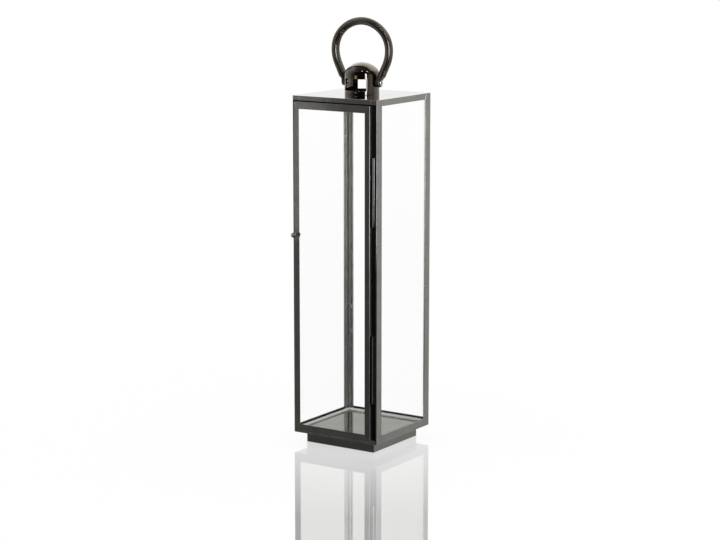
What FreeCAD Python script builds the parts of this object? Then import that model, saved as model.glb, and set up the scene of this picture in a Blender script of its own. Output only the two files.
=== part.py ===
import FreeCAD, Part
import math
import os

# Candle lantern in millimetres, +Z up. The origin is the middle of the plinth's underside. The door
# is at the front, towards -Y, and hangs on the right-hand front post, towards +X.

# Body
body_side = 150.0  # width and depth over the corner posts
body_height = 516.8  # from the plinth's top to the top plate's upper face
sheet = 1.2  # thickness of posts, rails, stops and floor plate
post_side_leg = 14.2  # width of a post's leg on the left and right faces
post_face_leg = 10.8  # width of a post's leg on the front and back faces
bottom_rail_height = 11.6
top_rail_height = 8.0
hem_height = 2.5  # folded edge of a rail, which the glass leans against
top_flange_width = 13.0  # rails' flanges under the top plate
top_plate_thickness = 1.5
floor_rise = 6.4  # from the frame's bottom edge to the floor plate's upper face
floor_gap = 0.4  # between the floor plate's skirt and what stands round it

# Plinth
plinth_height = 16.7
plinth_inset = 13.9  # set in from the body on every side
plinth_sheet = 1.5
plinth_flange = 9.0  # flange turned in at the top, which the rails' feet sit on
foot_lap = 4.0  # how far the rails' feet reach over the plinth

# Front opening
fascia_height = 5.4  # strip above the door
sill_height = 2.6  # strip below the door
stop_lap = 7.0  # how far the stops reach behind the door at its top, bottom and hinge side
recess_width = 11.2  # open strip between the door's hinge edge and its post
recess_foot_height = 5.8  # closed foot of that strip
swing_clearance = 0.4  # between the door's swinging edge and that foot

# Door
door_depth = 5.0
door_sheet = 1.0
door_stile_width = 8.8
door_top_rail_width = 11.0
door_bottom_rail_width = 10.0
door_side_gap = 0.5  # between the door and the latch-side post
door_top_gap = 2.0  # between the door and the fascia
door_bottom_gap = 0.6  # between the door and the sill
door_stop_gap = 0.6  # between the door and the stops behind it

# Hinges
hinge_depth = 2.6  # from the front face back to the hinge axis
knuckle_length = 34.0
knuckle_count = 3
knuckle_gap = 0.3
knuckle_radius = 2.4
hinge_pin_radius = 1.3
running_clearance = 0.05
leaf_sheet = 1.0
leaf_setback = 1.0  # from the front face back to a leaf's front edge
lower_hinge_rise = 59.1  # from the door's bottom edge to the lower hinge
upper_hinge_drop = 76.0  # from the door's top edge to the upper hinge
pin_stand = 0.8  # how far a pin stands out of its knuckles at each end

# Latch
latch_rise = 303.6  # from the door's bottom edge to the knob
latch_inset = 4.0  # from the door's free edge to the knob
spindle_radius = 1.25
knob_gap = 0.3  # between the door's face and the knob
knob_collar_radius = 2.6
knob_collar_length = 1.4
knob_neck_radius = 1.8
knob_neck_length = 3.6
knob_head_radius = 3.9
knob_head_flare = 1.4
knob_head_length = 2.6
knob_dome_height = 1.4
tongue_width = 3.2
tongue_thickness = 1.2
tongue_boss_radius = 2.2
tongue_gap = 0.4  # between the tongue and the stop that it catches
spindle_end = 0.3  # how far the spindle stands out behind the tongue

# Glass
glass_thickness = 3.0
pane_edge_gap = 0.5
pane_top_gap = 0.8
tab_sheet = 0.8  # bent tabs that hold the panes
tab_width = 12.0
tab_drop = 7.0  # how far a tab reaches over the glass
tab_foot = 4.0  # foot under the top flange
tab_spacing = 70.0  # between the middles of two tabs on one edge of a pane

# Chimney cap
cap_radius = 26.2
cap_wall = 1.2
cap_straight_height = 29.0
cap_dome_height = 18.5
cap_shoulder_radius = 13.0  # outer radius where the wall turns into the dome
cap_window_sill = 6.0  # above the top plate
cap_window_head = 23.8  # above the top plate
cap_window_half_angle = 47.4  # degrees, each side of the front and back directions
vent_ledge = 3.0  # top plate left inside the cap, round the vent hole

# Ring handle
rod_half_thickness = 5.7  # in the ring's plane
rod_half_depth = 6.9  # across the ring's plane
ring_radius = 47.8  # at the sides and below, to the middle of the rod
ring_shoulder_radius = 39.8  # at the upper corners
ring_crown_radius = 51.4  # over the top
ring_centre_height = 66.0  # above the top plate
pivot_height = 18.5  # above the top plate
eye_radius = 7.2
eye_thickness = 7.2
eye_gap = 0.3  # between an eye and the cap, and between an eye and its rivet's head
rivet_radius = 2.6
rivet_head_radius = 4.3
rivet_head_height = 2.4

# Places that follow from the sizes
half = body_side / 2
inner = half - sheet
rail_end = half - post_side_leg
face_end = half - post_face_leg
foot_edge = half - plinth_inset - foot_lap
flange_edge = half - top_flange_width
base_z = plinth_height
foot_z = base_z + sheet
top_z = base_z + body_height
frame_z = top_z - top_plate_thickness
flange_z = frame_z - sheet
fascia_z = frame_z - fascia_height

front_y = -half
stop_front_y = front_y + door_depth + door_stop_gap
stop_back_y = stop_front_y + sheet
door_left = -inner + door_side_gap
door_right = inner - recess_width
door_bottom = base_z + sill_height + door_bottom_gap
door_top = fascia_z - door_top_gap
glass_front_y = front_y + door_sheet
glass_back_y = glass_front_y + glass_thickness

hinge_x = door_right + recess_width / 2
hinge_y = front_y + hinge_depth
hinge_length = knuckle_count * knuckle_length + (knuckle_count - 1) * knuckle_gap
hinge_bottoms = {
    "lower": door_bottom + lower_hinge_rise,
    "upper": door_top - upper_hinge_drop - hinge_length,
}

latch_x = door_left + latch_inset
latch_z = door_bottom + latch_rise
tongue_y = stop_back_y + tongue_gap
spindle_end_y = tongue_y + tongue_thickness + spindle_end
tongue_reach = door_side_gap + latch_inset - tongue_gap
latch_stop_edge = latch_x - tongue_boss_radius - tongue_gap
hinge_stop_edge = door_right - stop_lap

pane_outer = inner - sheet
pane_inner = pane_outer - glass_thickness
side_pane_front = spindle_end_y + pane_edge_gap
side_pane_back = pane_inner - pane_edge_gap
back_pane_half = inner - pane_edge_gap
pane_z = (foot_z, flange_z - pane_top_gap)

eye_inner_x = cap_radius + eye_gap
eye_outer_x = eye_inner_x + eye_thickness
pivot_x = (eye_inner_x + eye_outer_x) / 2
pivot_z = top_z + pivot_height
ring_z = top_z + ring_centre_height
ring_shoulder_x = ring_radius - ring_shoulder_radius
ring_shoulder_angle = math.degrees(math.acos(ring_shoulder_x / (ring_crown_radius - ring_shoulder_radius)))
ring_crown_z = ring_z - ring_shoulder_x * math.tan(math.radians(ring_shoulder_angle))

X = FreeCAD.Vector(1, 0, 0)
Y = FreeCAD.Vector(0, 1, 0)
Z = FreeCAD.Vector(0, 0, 1)


def block(x, y, z):
    """Rectangular block between two places along each axis, given in either order."""
    low = [min(x), min(y), min(z)]
    size = [abs(x[1] - x[0]), abs(y[1] - y[0]), abs(z[1] - z[0])]
    return Part.makeBox(*size, FreeCAD.Vector(*low))


def joined(*shapes):
    """One solid from shapes that touch or overlap."""
    return shapes[0].fuse(list(shapes[1:])).removeSplitter()


def round_bar(radius, start, end):
    """Cylinder between two points."""
    start, end = FreeCAD.Vector(*start), FreeCAD.Vector(*end)
    return Part.makeCylinder(radius, (end - start).Length, start, end - start)


def turned(edges, centre, axis):
    """Solid of revolution from the closed edges of a half section."""
    return Part.Face(Part.Wire(edges)).revolve(FreeCAD.Vector(*centre), axis, 360)


def polyline(points):
    """Straight edges through a list of points."""
    vectors = [FreeCAD.Vector(*point) for point in points]
    return [Part.makeLine(a, b) for a, b in zip(vectors, vectors[1:])]


def make_plinth():
    """Square sheet tray that stands on its flat bottom, with a flange turned in at the top."""
    outer = half - plinth_inset
    wall = outer - plinth_sheet
    mouth = outer - plinth_flange
    shell = block((-outer, outer), (-outer, outer), (0, base_z))
    hollow = block((-wall, wall), (-wall, wall), (plinth_sheet, base_z - plinth_sheet))
    opening = block((-mouth, mouth), (-mouth, mouth), (base_z - plinth_sheet, base_z))
    return shell.cut(hollow).cut(opening)


def make_floor_plate():
    """Raised floor with a skirt that stands on the rails' feet."""
    side = pane_inner - floor_gap
    front = stop_back_y + floor_gap
    floor_z = base_z + floor_rise
    tray = block((-side, side), (front, side), (foot_z, floor_z))
    hollow_x = (sheet - side, side - sheet)
    hollow_y = (front + sheet, side - sheet)
    return tray.cut(block(hollow_x, hollow_y, (foot_z, floor_z - sheet)))


def make_back_post(way):
    """Folded angle at a back corner. The way is +1 for the right-hand side and -1 for the left."""
    side_leg = block((way * inner, way * half), (rail_end, half), (base_z, frame_z))
    face_leg = block((way * face_end, way * inner), (inner, half), (base_z, frame_z))
    return joined(side_leg, face_leg)


def make_front_post(way):
    """Front post: a full side leg, and a face leg that is left only above the door."""
    side_leg = block((way * inner, way * half), (-half, -rail_end), (base_z, frame_z))
    face_leg = block((way * face_end, way * inner), (-half, -inner), (fascia_z, frame_z))
    return joined(side_leg, face_leg)


def make_side_bottom_rail(way):
    """Bottom rail of the left or right face: wall, hem along its top and a foot turned in."""
    rail_top = base_z + bottom_rail_height
    wall = block((way * inner, way * half), (-rail_end, rail_end), (base_z, rail_top))
    hem_z = (rail_top - hem_height, rail_top)
    hem = block((way * pane_outer, way * inner), (-rail_end, rail_end), hem_z)
    foot = block((way * foot_edge, way * inner), (-inner, inner), (base_z, foot_z))
    return joined(wall, hem, foot)


def make_back_bottom_rail():
    """Bottom rail of the back face."""
    rail_top = base_z + bottom_rail_height
    wall = block((-face_end, face_end), (inner, half), (base_z, rail_top))
    hem = block((-face_end, face_end), (pane_outer, inner), (rail_top - hem_height, rail_top))
    foot = block((-foot_edge, foot_edge), (foot_edge, inner), (base_z, foot_z))
    return joined(wall, hem, foot)


def make_side_top_rail(way):
    """Top rail of the left or right face: wall, hem along its bottom and a flange turned in."""
    rail_bottom = frame_z - top_rail_height
    wall = block((way * inner, way * half), (-rail_end, rail_end), (rail_bottom, frame_z))
    hem_z = (rail_bottom, rail_bottom + hem_height)
    hem = block((way * pane_outer, way * inner), (-rail_end, rail_end), hem_z)
    flange = block((way * flange_edge, way * inner), (-inner, inner), (flange_z, frame_z))
    return joined(wall, hem, flange)


def make_back_top_rail():
    """Top rail of the back face."""
    rail_bottom = frame_z - top_rail_height
    wall = block((-face_end, face_end), (inner, half), (rail_bottom, frame_z))
    hem = block((-face_end, face_end), (pane_outer, inner), (rail_bottom, rail_bottom + hem_height))
    flange = block((-flange_edge, flange_edge), (flange_edge, inner), (flange_z, frame_z))
    return joined(wall, hem, flange)


def make_cross_stop(low, high):
    """Level strip behind the door, between its two upright stops."""
    return block((latch_stop_edge, hinge_stop_edge), (stop_front_y, stop_back_y), (low, high))


def make_front_sill():
    """Sill under the door: front lip, foot, stop behind the door and the closed foot of the recess."""
    lip = block((-inner, inner), (-half, -inner), (base_z, base_z + sill_height))
    foot = block((-foot_edge, foot_edge), (-inner, -foot_edge), (base_z, foot_z))
    stop = make_cross_stop(foot_z, door_bottom + stop_lap)
    swing_radius = recess_width / 2 - swing_clearance
    foot_left = hinge_x - math.sqrt(swing_radius ** 2 - hinge_depth ** 2)
    recess_foot = block((foot_left, inner), (-half, stop_front_y), (foot_z, base_z + recess_foot_height))
    return joined(lip, foot, stop, recess_foot)


def make_front_fascia():
    """Strip above the door, with a flange under the top plate and a stop behind the door."""
    wall = block((-face_end, face_end), (-half, -inner), (fascia_z, frame_z))
    flange = block((-flange_edge, flange_edge), (-inner, -flange_edge), (flange_z, frame_z))
    stop = make_cross_stop(door_top - stop_lap, flange_z)
    return joined(wall, flange, stop)


def make_door_stop(edges):
    """Upright strip behind one side of the door, between the rails' feet and flanges."""
    return block(edges, (stop_front_y, stop_back_y), (foot_z, flange_z))


def make_top_plate():
    """Flat top with the vent hole under the cap."""
    plate = block((-half, half), (-half, half), (frame_z, top_z))
    vent_radius = cap_radius - cap_wall - vent_ledge
    return plate.cut(Part.makeCylinder(vent_radius, top_plate_thickness, Z * frame_z))


def make_side_pane(way):
    """Pane of the left or right face, standing on the rail's foot behind the hems."""
    return block((way * pane_inner, way * pane_outer), (side_pane_front, side_pane_back), pane_z)


def make_back_pane():
    """Pane of the back face."""
    return block((-back_pane_half, back_pane_half), (pane_inner, pane_outer), pane_z)


def make_tab_spans(middle):
    """Both ends of each tab along the edge of a pane whose middle is given."""
    middles = (middle - tab_spacing / 2, middle + tab_spacing / 2)
    return [(place - tab_width / 2, place + tab_width / 2) for place in middles]


def make_side_pane_tabs(way):
    """Two bent tabs: each has a foot under the top flange and hangs down inside the pane."""
    foot_x = (way * (pane_inner - tab_sheet - tab_foot), way * (pane_inner - tab_sheet))
    leg_x = (foot_x[1], way * pane_inner)
    tabs = []
    for span in make_tab_spans((side_pane_front + side_pane_back) / 2):
        foot = block(foot_x, span, (flange_z - tab_sheet, flange_z))
        leg = block(leg_x, span, (flange_z - tab_drop, flange_z))
        tabs.append(joined(foot, leg))
    return Part.makeCompound(tabs)


def make_back_pane_tabs():
    """Two bent tabs of the back pane."""
    foot_y = (pane_inner - tab_sheet - tab_foot, pane_inner - tab_sheet)
    tabs = []
    for span in make_tab_spans(0):
        foot = block(span, foot_y, (flange_z - tab_sheet, flange_z))
        leg = block(span, (foot_y[1], pane_inner), (flange_z - tab_drop, flange_z))
        tabs.append(joined(foot, leg))
    return Part.makeCompound(tabs)


def make_corners(left, right, bottom, top):
    """Corners of an upright rectangle in X and Z, from the bottom left round by the right."""
    return [(left, bottom), (right, bottom), (right, top), (left, top)]


def make_door_member(corners, edge_strip):
    """Door member: a mitred front face, given by its corners in X and Z, and its edge strip."""
    outline = [(x, front_y, z) for x, z in corners]
    face = Part.Face(Part.Wire(polyline(outline + outline[:1])))
    return joined(face.extrude(Y * door_sheet), edge_strip)


def make_door_frame():
    """The door's two stiles and two rails, mitred at the corners."""
    left_in, right_in = door_left + door_stile_width, door_right - door_stile_width
    bottom_in, top_in = door_bottom + door_bottom_rail_width, door_top - door_top_rail_width
    edge_y = (front_y, front_y + door_depth)
    across = (door_left + door_sheet, door_right - door_sheet)
    upright = (door_bottom, door_top)
    latch_strip = block((door_left, door_left + door_sheet), edge_y, upright)
    hinge_strip = block((door_right - door_sheet, door_right), edge_y, upright)
    top_strip = block(across, (glass_front_y, edge_y[1]), (door_top - door_sheet, door_top))
    bottom_strip = block(across, (glass_front_y, edge_y[1]), (door_bottom, door_bottom + door_sheet))
    outside = make_corners(door_left, door_right, door_bottom, door_top)
    inside = make_corners(left_in, right_in, bottom_in, top_in)
    members = []
    for side, edge_strip in enumerate((bottom_strip, hinge_strip, top_strip, latch_strip)):
        following = (side + 1) % len(outside)
        corners = (outside[side], outside[following], inside[following], inside[side])
        members.append(make_door_member(corners, edge_strip))
    bottom_rail, hinge_stile, top_rail, latch_stile = members
    spindle_hole = round_bar(
        spindle_radius + running_clearance, (latch_x, front_y, latch_z), (latch_x, glass_front_y, latch_z)
    )
    return {
        "door_latch_stile": latch_stile.cut(spindle_hole),
        "door_hinge_stile": hinge_stile,
        "door_top_rail": top_rail.cut(latch_strip).cut(hinge_strip),
        "door_bottom_rail": bottom_rail.cut(latch_strip).cut(hinge_strip),
    }


def make_door_pane():
    """Glass of the door, which stops short of the latch's spindle."""
    left = latch_x + spindle_radius + pane_edge_gap
    right = door_right - door_sheet - pane_edge_gap
    bottom = door_bottom + door_sheet + pane_edge_gap
    top = door_top - door_sheet - pane_edge_gap
    return block((left, right), (glass_front_y, glass_back_y), (bottom, top))


def make_door_pane_tabs():
    """Four flat tabs that reach from the rails' edge strips over the back of the glass."""
    depth = (glass_back_y, glass_back_y + tab_sheet)
    low, high = door_bottom + door_sheet, door_top - door_sheet
    tabs = []
    for edges in ((low, low + tab_drop), (high - tab_drop, high)):
        for span in make_tab_spans((door_left + door_right) / 2):
            tabs.append(block(span, depth, edges))
    return Part.makeCompound(tabs)


def make_hinge_leaf(plate_x, arm_end, bottom, knuckles, bore_radius):
    """Hinge leaf: a plate, and for each of its knuckles an arm and a rolled barrel."""
    plate_y = (front_y + leaf_setback, front_y + door_depth)
    solids = [block(plate_x, plate_y, (bottom, bottom + hinge_length))]
    for knuckle in knuckles:
        low = bottom + knuckle * (knuckle_length + knuckle_gap)
        high = low + knuckle_length
        arm_y = (hinge_y - leaf_sheet / 2, hinge_y + leaf_sheet / 2)
        solids.append(block((arm_end, hinge_x), arm_y, (low, high)))
        solids.append(round_bar(knuckle_radius, (hinge_x, hinge_y, low), (hinge_x, hinge_y, high)))
    bore = round_bar(bore_radius, (hinge_x, hinge_y, bottom), (hinge_x, hinge_y, bottom + hinge_length))
    return joined(*solids).cut(bore)


def make_hinge(name, bottom):
    """One butt hinge: the outer knuckles are the door leaf's, the ones between them the frame leaf's."""
    door_plate = (door_right, door_right + leaf_sheet)
    frame_plate = (inner - leaf_sheet, inner)
    door_knuckles = range(0, knuckle_count, 2)
    frame_knuckles = range(1, knuckle_count, 2)
    door_bore = hinge_pin_radius + running_clearance
    pin_ends = (bottom - pin_stand, bottom + hinge_length + pin_stand)
    door_leaf = make_hinge_leaf(door_plate, door_plate[1], bottom, door_knuckles, door_bore)
    frame_leaf = make_hinge_leaf(frame_plate, frame_plate[0], bottom, frame_knuckles, hinge_pin_radius)
    pin = round_bar(hinge_pin_radius, (hinge_x, hinge_y, pin_ends[0]), (hinge_x, hinge_y, pin_ends[1]))
    return {
        f"{name}_hinge_door_leaf": door_leaf,
        f"{name}_hinge_frame_leaf": frame_leaf,
        f"{name}_hinge_pin": pin,
    }


def make_latch():
    """Turned knob, spindle through the stile and the tongue, which hangs down when it is free."""
    collar_y = front_y - knob_gap
    neck_y = collar_y - knob_collar_length
    flare_y = neck_y - knob_neck_length
    head_y = flare_y - knob_head_flare
    rim_y = head_y - knob_head_length
    crown_y = rim_y - knob_dome_height
    half_section = [
        (0, collar_y),
        (knob_collar_radius, collar_y),
        (knob_collar_radius, neck_y),
        (knob_neck_radius, neck_y),
        (knob_neck_radius, flare_y),
        (knob_head_radius, head_y),
        (knob_head_radius, rim_y),
    ]
    edges = polyline([(latch_x + radius, y, latch_z) for radius, y in half_section])
    dome_radius = (knob_head_radius ** 2 + knob_dome_height ** 2) / (2 * knob_dome_height)
    middle_radius = knob_head_radius / 2
    middle_y = crown_y + dome_radius - math.sqrt(dome_radius ** 2 - middle_radius ** 2)
    rim = FreeCAD.Vector(latch_x + knob_head_radius, rim_y, latch_z)
    middle = FreeCAD.Vector(latch_x + middle_radius, middle_y, latch_z)
    crown = FreeCAD.Vector(latch_x, crown_y, latch_z)
    edges.append(Part.Arc(rim, middle, crown).toShape())
    edges.append(Part.makeLine(crown, FreeCAD.Vector(latch_x, collar_y, latch_z)))
    spindle = round_bar(spindle_radius, (latch_x, flare_y, latch_z), (latch_x, spindle_end_y, latch_z))
    tongue_back = tongue_y + tongue_thickness
    boss = round_bar(tongue_boss_radius, (latch_x, tongue_y, latch_z), (latch_x, tongue_back, latch_z))
    reach = round_bar(tongue_reach, (latch_x, tongue_y, latch_z), (latch_x, tongue_back, latch_z))
    bar_x = (latch_x - tongue_width / 2, latch_x + tongue_width / 2)
    bar = block(bar_x, (tongue_y, tongue_back), (latch_z - tongue_reach, latch_z)).common(reach)
    return {
        "latch_knob": turned(edges, (latch_x, 0, latch_z), Y).cut(spindle),
        "latch_spindle": spindle,
        "latch_tongue": joined(boss, bar).cut(spindle),
    }


def make_domed_drum(inset):
    """Solid drum with a domed top: a shoulder arc and a crown arc, all set in by the same amount."""
    radius = cap_radius - inset
    shoulder_z = top_z + cap_straight_height
    crown_radius = (cap_radius - cap_shoulder_radius) ** 2 + cap_dome_height ** 2 - cap_shoulder_radius ** 2
    crown_radius /= 2 * (cap_dome_height - cap_shoulder_radius)
    shoulder_centre = FreeCAD.Vector(cap_radius - cap_shoulder_radius, 0, shoulder_z)
    crown_centre = FreeCAD.Vector(0, 0, shoulder_z + cap_dome_height - crown_radius)
    meet = math.atan2(shoulder_centre.z - crown_centre.z, shoulder_centre.x)

    def on_arc(centre, arc_radius, angle):
        return centre + X * (arc_radius * math.cos(angle)) + Z * (arc_radius * math.sin(angle))

    arcs = []
    for centre, arc_radius, first, last in (
        (shoulder_centre, cap_shoulder_radius - inset, 0, meet),
        (crown_centre, crown_radius - inset, meet, math.pi / 2),
    ):
        points = [on_arc(centre, arc_radius, angle) for angle in (first, (first + last) / 2, last)]
        arcs.append(Part.Arc(*points).toShape())
    crown_z = shoulder_z + cap_dome_height - inset
    edges = polyline([(0, 0, top_z), (radius, 0, top_z), (radius, 0, shoulder_z)]) + arcs
    edges += polyline([(0, 0, crown_z), (0, 0, top_z)])
    return turned(edges, (0, 0, 0), Z)


def make_cap():
    """Domed chimney cap with a window at its front and back and a rivet hole at each side."""
    cap = make_domed_drum(0).cut(make_domed_drum(cap_wall))
    window_angle = math.radians(cap_window_half_angle)
    reach = 2 * cap_radius
    corner = (reach * math.sin(window_angle), reach * math.cos(window_angle))
    window_z = top_z + cap_window_sill
    window_height = cap_window_head - cap_window_sill
    for way in (-1, 1):
        far_y = way * corner[1]
        wedge = [(0, 0, window_z), (corner[0], far_y, window_z), (-corner[0], far_y, window_z)]
        cap = cap.cut(Part.Face(Part.Wire(polyline(wedge + wedge[:1]))).extrude(Z * window_height))
    return cap.cut(round_bar(rivet_radius, (-cap_radius, 0, pivot_z), (cap_radius, 0, pivot_z)))


def make_rod_end(place, along):
    """Oval end of the ring's rod, square to the way that the rod runs there."""
    depth_end = place + Y * rod_half_depth
    thickness_end = place + Y.cross(along) * rod_half_thickness
    return Part.Face(Part.Wire(Part.Ellipse(depth_end, thickness_end, place).toShape()))


def make_bow(x, z, radius, first, last):
    """Rod bent about a centre, between two angles in degrees above level."""
    centre = FreeCAD.Vector(x, 0, z)
    angle = math.radians(first)
    outward = FreeCAD.Vector(math.cos(angle), 0, math.sin(angle))
    along = FreeCAD.Vector(-math.sin(angle), 0, math.cos(angle))
    return make_rod_end(centre + outward * radius, along).revolve(centre, -Y, last - first)


def make_ring_side():
    """Right-hand side of the ring: shoulder, side bend and a leg that leans in to its eye."""
    pivot = FreeCAD.Vector(pivot_x, 0, pivot_z)
    to_centre = FreeCAD.Vector(0, 0, ring_z) - pivot
    lean = math.atan2(to_centre.z, to_centre.x) - math.asin(ring_radius / to_centre.Length)
    along_leg = FreeCAD.Vector(math.cos(lean), 0, math.sin(lean))
    leg_length = math.sqrt(to_centre.Length ** 2 - ring_radius ** 2)
    leg = make_rod_end(pivot, along_leg).extrude(along_leg * leg_length)
    side_bend = make_bow(0, ring_z, ring_radius, math.degrees(lean) - 90, 0)
    shoulder = make_bow(ring_shoulder_x, ring_z, ring_shoulder_radius, 0, ring_shoulder_angle)
    inner_end = (eye_inner_x, 0, pivot_z)
    outer_end = (eye_outer_x, 0, pivot_z)
    eye = round_bar(eye_radius, inner_end, outer_end)
    beside_cap = block((0, eye_inner_x), (-eye_radius, eye_radius), (top_z, ring_z))
    beside_rivet = round_bar(eye_radius, outer_end, (eye_outer_x + ring_radius, 0, pivot_z))
    bore = round_bar(rivet_radius + running_clearance, inner_end, outer_end)
    return joined(leg, side_bend, shoulder, eye).cut(beside_cap).cut(beside_rivet).cut(bore)


def make_ring_handle():
    """Rod bent to a ring with a flatter crown, its two sides alike."""
    crown = make_bow(0, ring_crown_z, ring_crown_radius, ring_shoulder_angle, 180 - ring_shoulder_angle)
    right_side = make_ring_side()
    left_side = right_side.copy()
    left_side.rotate(FreeCAD.Vector(0, 0, 0), Z, 180)
    return joined(crown, right_side, left_side)


def make_pivot_rivet(way):
    """Rivet with a domed head outside the eye and a flat head inside the cap."""
    bore = cap_radius - cap_wall
    inside_x = math.sqrt(bore ** 2 - rivet_head_radius ** 2)
    head_x = eye_outer_x + eye_gap
    crown_x = head_x + rivet_head_height
    end_x = inside_x - rivet_head_height / 2
    half_section = [
        (end_x, 0),
        (end_x, rivet_head_radius),
        (inside_x, rivet_head_radius),
        (inside_x, rivet_radius),
        (head_x, rivet_radius),
        (head_x, rivet_head_radius),
    ]
    edges = polyline([(way * x, 0, pivot_z + radius) for x, radius in half_section])
    dome_radius = (rivet_head_radius ** 2 + rivet_head_height ** 2) / (2 * rivet_head_height)
    middle_radius = rivet_head_radius / 2
    middle_x = crown_x - dome_radius + math.sqrt(dome_radius ** 2 - middle_radius ** 2)
    rim = FreeCAD.Vector(way * head_x, 0, pivot_z + rivet_head_radius)
    middle = FreeCAD.Vector(way * middle_x, 0, pivot_z + middle_radius)
    crown = FreeCAD.Vector(way * crown_x, 0, pivot_z)
    edges.append(Part.Arc(rim, middle, crown).toShape())
    edges.append(Part.makeLine(crown, FreeCAD.Vector(way * end_x, 0, pivot_z)))
    return turned(edges, (0, 0, pivot_z), X)


def make_lantern():
    """All pieces by name."""
    pieces = {
        "plinth": make_plinth(),
        "floor_plate": make_floor_plate(),
        "front_sill": make_front_sill(),
        "front_fascia": make_front_fascia(),
        "back_bottom_rail": make_back_bottom_rail(),
        "back_top_rail": make_back_top_rail(),
        "hinge_side_stop": make_door_stop((hinge_stop_edge, inner)),
        "latch_side_stop": make_door_stop((-inner, latch_stop_edge)),
        "top_plate": make_top_plate(),
        "back_pane": make_back_pane(),
        "back_pane_tabs": make_back_pane_tabs(),
        "door_pane": make_door_pane(),
        "door_pane_tabs": make_door_pane_tabs(),
        "chimney_cap": make_cap(),
        "ring_handle": make_ring_handle(),
    }
    for side, way in (("left", -1), ("right", 1)):
        pieces[f"front_{side}_post"] = make_front_post(way)
        pieces[f"back_{side}_post"] = make_back_post(way)
        pieces[f"{side}_bottom_rail"] = make_side_bottom_rail(way)
        pieces[f"{side}_top_rail"] = make_side_top_rail(way)
        pieces[f"{side}_pane"] = make_side_pane(way)
        pieces[f"{side}_pane_tabs"] = make_side_pane_tabs(way)
        pieces[f"{side}_pivot_rivet"] = make_pivot_rivet(way)
    pieces.update(make_door_frame())
    pieces.update(make_latch())
    for name, bottom in hinge_bottoms.items():
        pieces.update(make_hinge(name, bottom))
    return pieces


os.makedirs("parts", exist_ok=True)
for node, shape in make_lantern().items():
    shape.exportStep(f"parts/{node}.step")
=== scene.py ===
"""Dressed model of a tall candle lantern of polished black nickel sheet, with glass sides, a hinged
glass door, a domed chimney cap and a ring handle. Lengths are in metres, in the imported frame."""

import logging
import math
from collections.abc import Callable, Sequence
from dataclasses import dataclass
from enum import Enum

import bmesh
import bpy
from mathutils import Matrix, Vector


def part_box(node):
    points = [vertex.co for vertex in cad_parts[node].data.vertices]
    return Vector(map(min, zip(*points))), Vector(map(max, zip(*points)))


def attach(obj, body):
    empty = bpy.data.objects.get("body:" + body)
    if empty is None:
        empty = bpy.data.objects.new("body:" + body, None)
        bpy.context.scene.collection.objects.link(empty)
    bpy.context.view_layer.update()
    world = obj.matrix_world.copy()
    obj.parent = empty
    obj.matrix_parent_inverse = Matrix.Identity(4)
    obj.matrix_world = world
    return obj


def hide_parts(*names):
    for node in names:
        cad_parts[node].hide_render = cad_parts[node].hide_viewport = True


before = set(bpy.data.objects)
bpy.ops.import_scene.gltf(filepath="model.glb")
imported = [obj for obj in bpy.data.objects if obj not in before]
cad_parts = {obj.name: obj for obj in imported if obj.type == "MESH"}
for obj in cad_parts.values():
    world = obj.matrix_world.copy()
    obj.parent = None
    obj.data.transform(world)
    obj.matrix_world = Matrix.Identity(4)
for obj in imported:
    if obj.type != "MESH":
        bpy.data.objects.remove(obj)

BMesh = bmesh.types.BMesh
Edge = bmesh.types.BMEdge
Vert = bmesh.types.BMVert
Face = bpy.types.MeshPolygon
Material = bpy.types.Material
Mesh = bpy.types.Mesh
Node = bpy.types.Node
Shape = bpy.types.Object
Socket = bpy.types.NodeSocket
Tree = bpy.types.NodeTree
Source = Node | Socket  # what feeds a node's input; a node feeds it from its first output
Colour = tuple[float, float, float]
Point = tuple[float, float]
Range = tuple[float, float]
Place = tuple[Vector, Vector]  # where a copy goes, and its angles about X, Y and Z

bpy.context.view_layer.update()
MM = 0.001
QUARTER = math.pi / 2
SHARP_ANGLE = math.radians(40)
FLAT_ANGLE = math.radians(1)  # faces that meet at less than this are one
WELD = 0.001 * MM  # points that are closer than this are one
EDGE_STEPS = 2  # faces across a rounded edge
FOLD_STEPS = 4  # faces across a rounded fold
FACING = 0.9  # a face looks along an axis when its normal has this share of it
WEAR = "edge_wear"  # face attribute that marks rounded edges, where the polish is rubbed
TURN = "turn"  # point attribute that turns a copy

log = logging.getLogger("lantern")


class Body(Enum):
    """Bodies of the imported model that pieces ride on."""

    LANTERN = "lantern_body"
    DOOR = "door"
    LATCH = "latch"
    HANDLE = "handle"


class Slot(Enum):
    """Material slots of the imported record."""

    BLACK_NICKEL = "black_nickel"
    DARK_NICKEL = "dark_nickel"
    BRIGHT_STEEL = "bright_steel"
    CLEAR_GLASS = "clear_glass"


def add_node(tree: Tree, kind: str, inputs: dict | None = None, **settings: object) -> Node:
    """Adds a node to a tree.

    Args:
        tree: tree that gets the node.
        kind: Blender's name for the node's type.
        inputs: by name or index, an input's value or the source that feeds it.
        settings: values of the node's own properties.

    Returns:
        The new node.
    """
    node = tree.nodes.new(kind)
    for name, value in settings.items():
        setattr(node, name, value)
    for name, value in (inputs or {}).items():
        source = value.outputs[0] if isinstance(value, Node) else value
        if isinstance(source, Socket):
            tree.links.new(source, node.inputs[name])
        else:
            node.inputs[name].default_value = source
    return node


def opaque(colour: Colour) -> tuple[float, float, float, float]:
    """The colour with a full alpha."""
    return (*colour, 1.0)


def noise(tree: Tree, place: Socket, inputs: dict[str, float]) -> Node:
    """Noise at a place, with its scale and its other inputs by name."""
    return add_node(tree, "ShaderNodeTexNoise", {"Vector": place, **inputs})


def maths(tree: Tree, operation: str, first: Source, second: Source | float) -> Node:
    """One sum on two values."""
    return add_node(tree, "ShaderNodeMath", {0: first, 1: second}, operation=operation)


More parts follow.
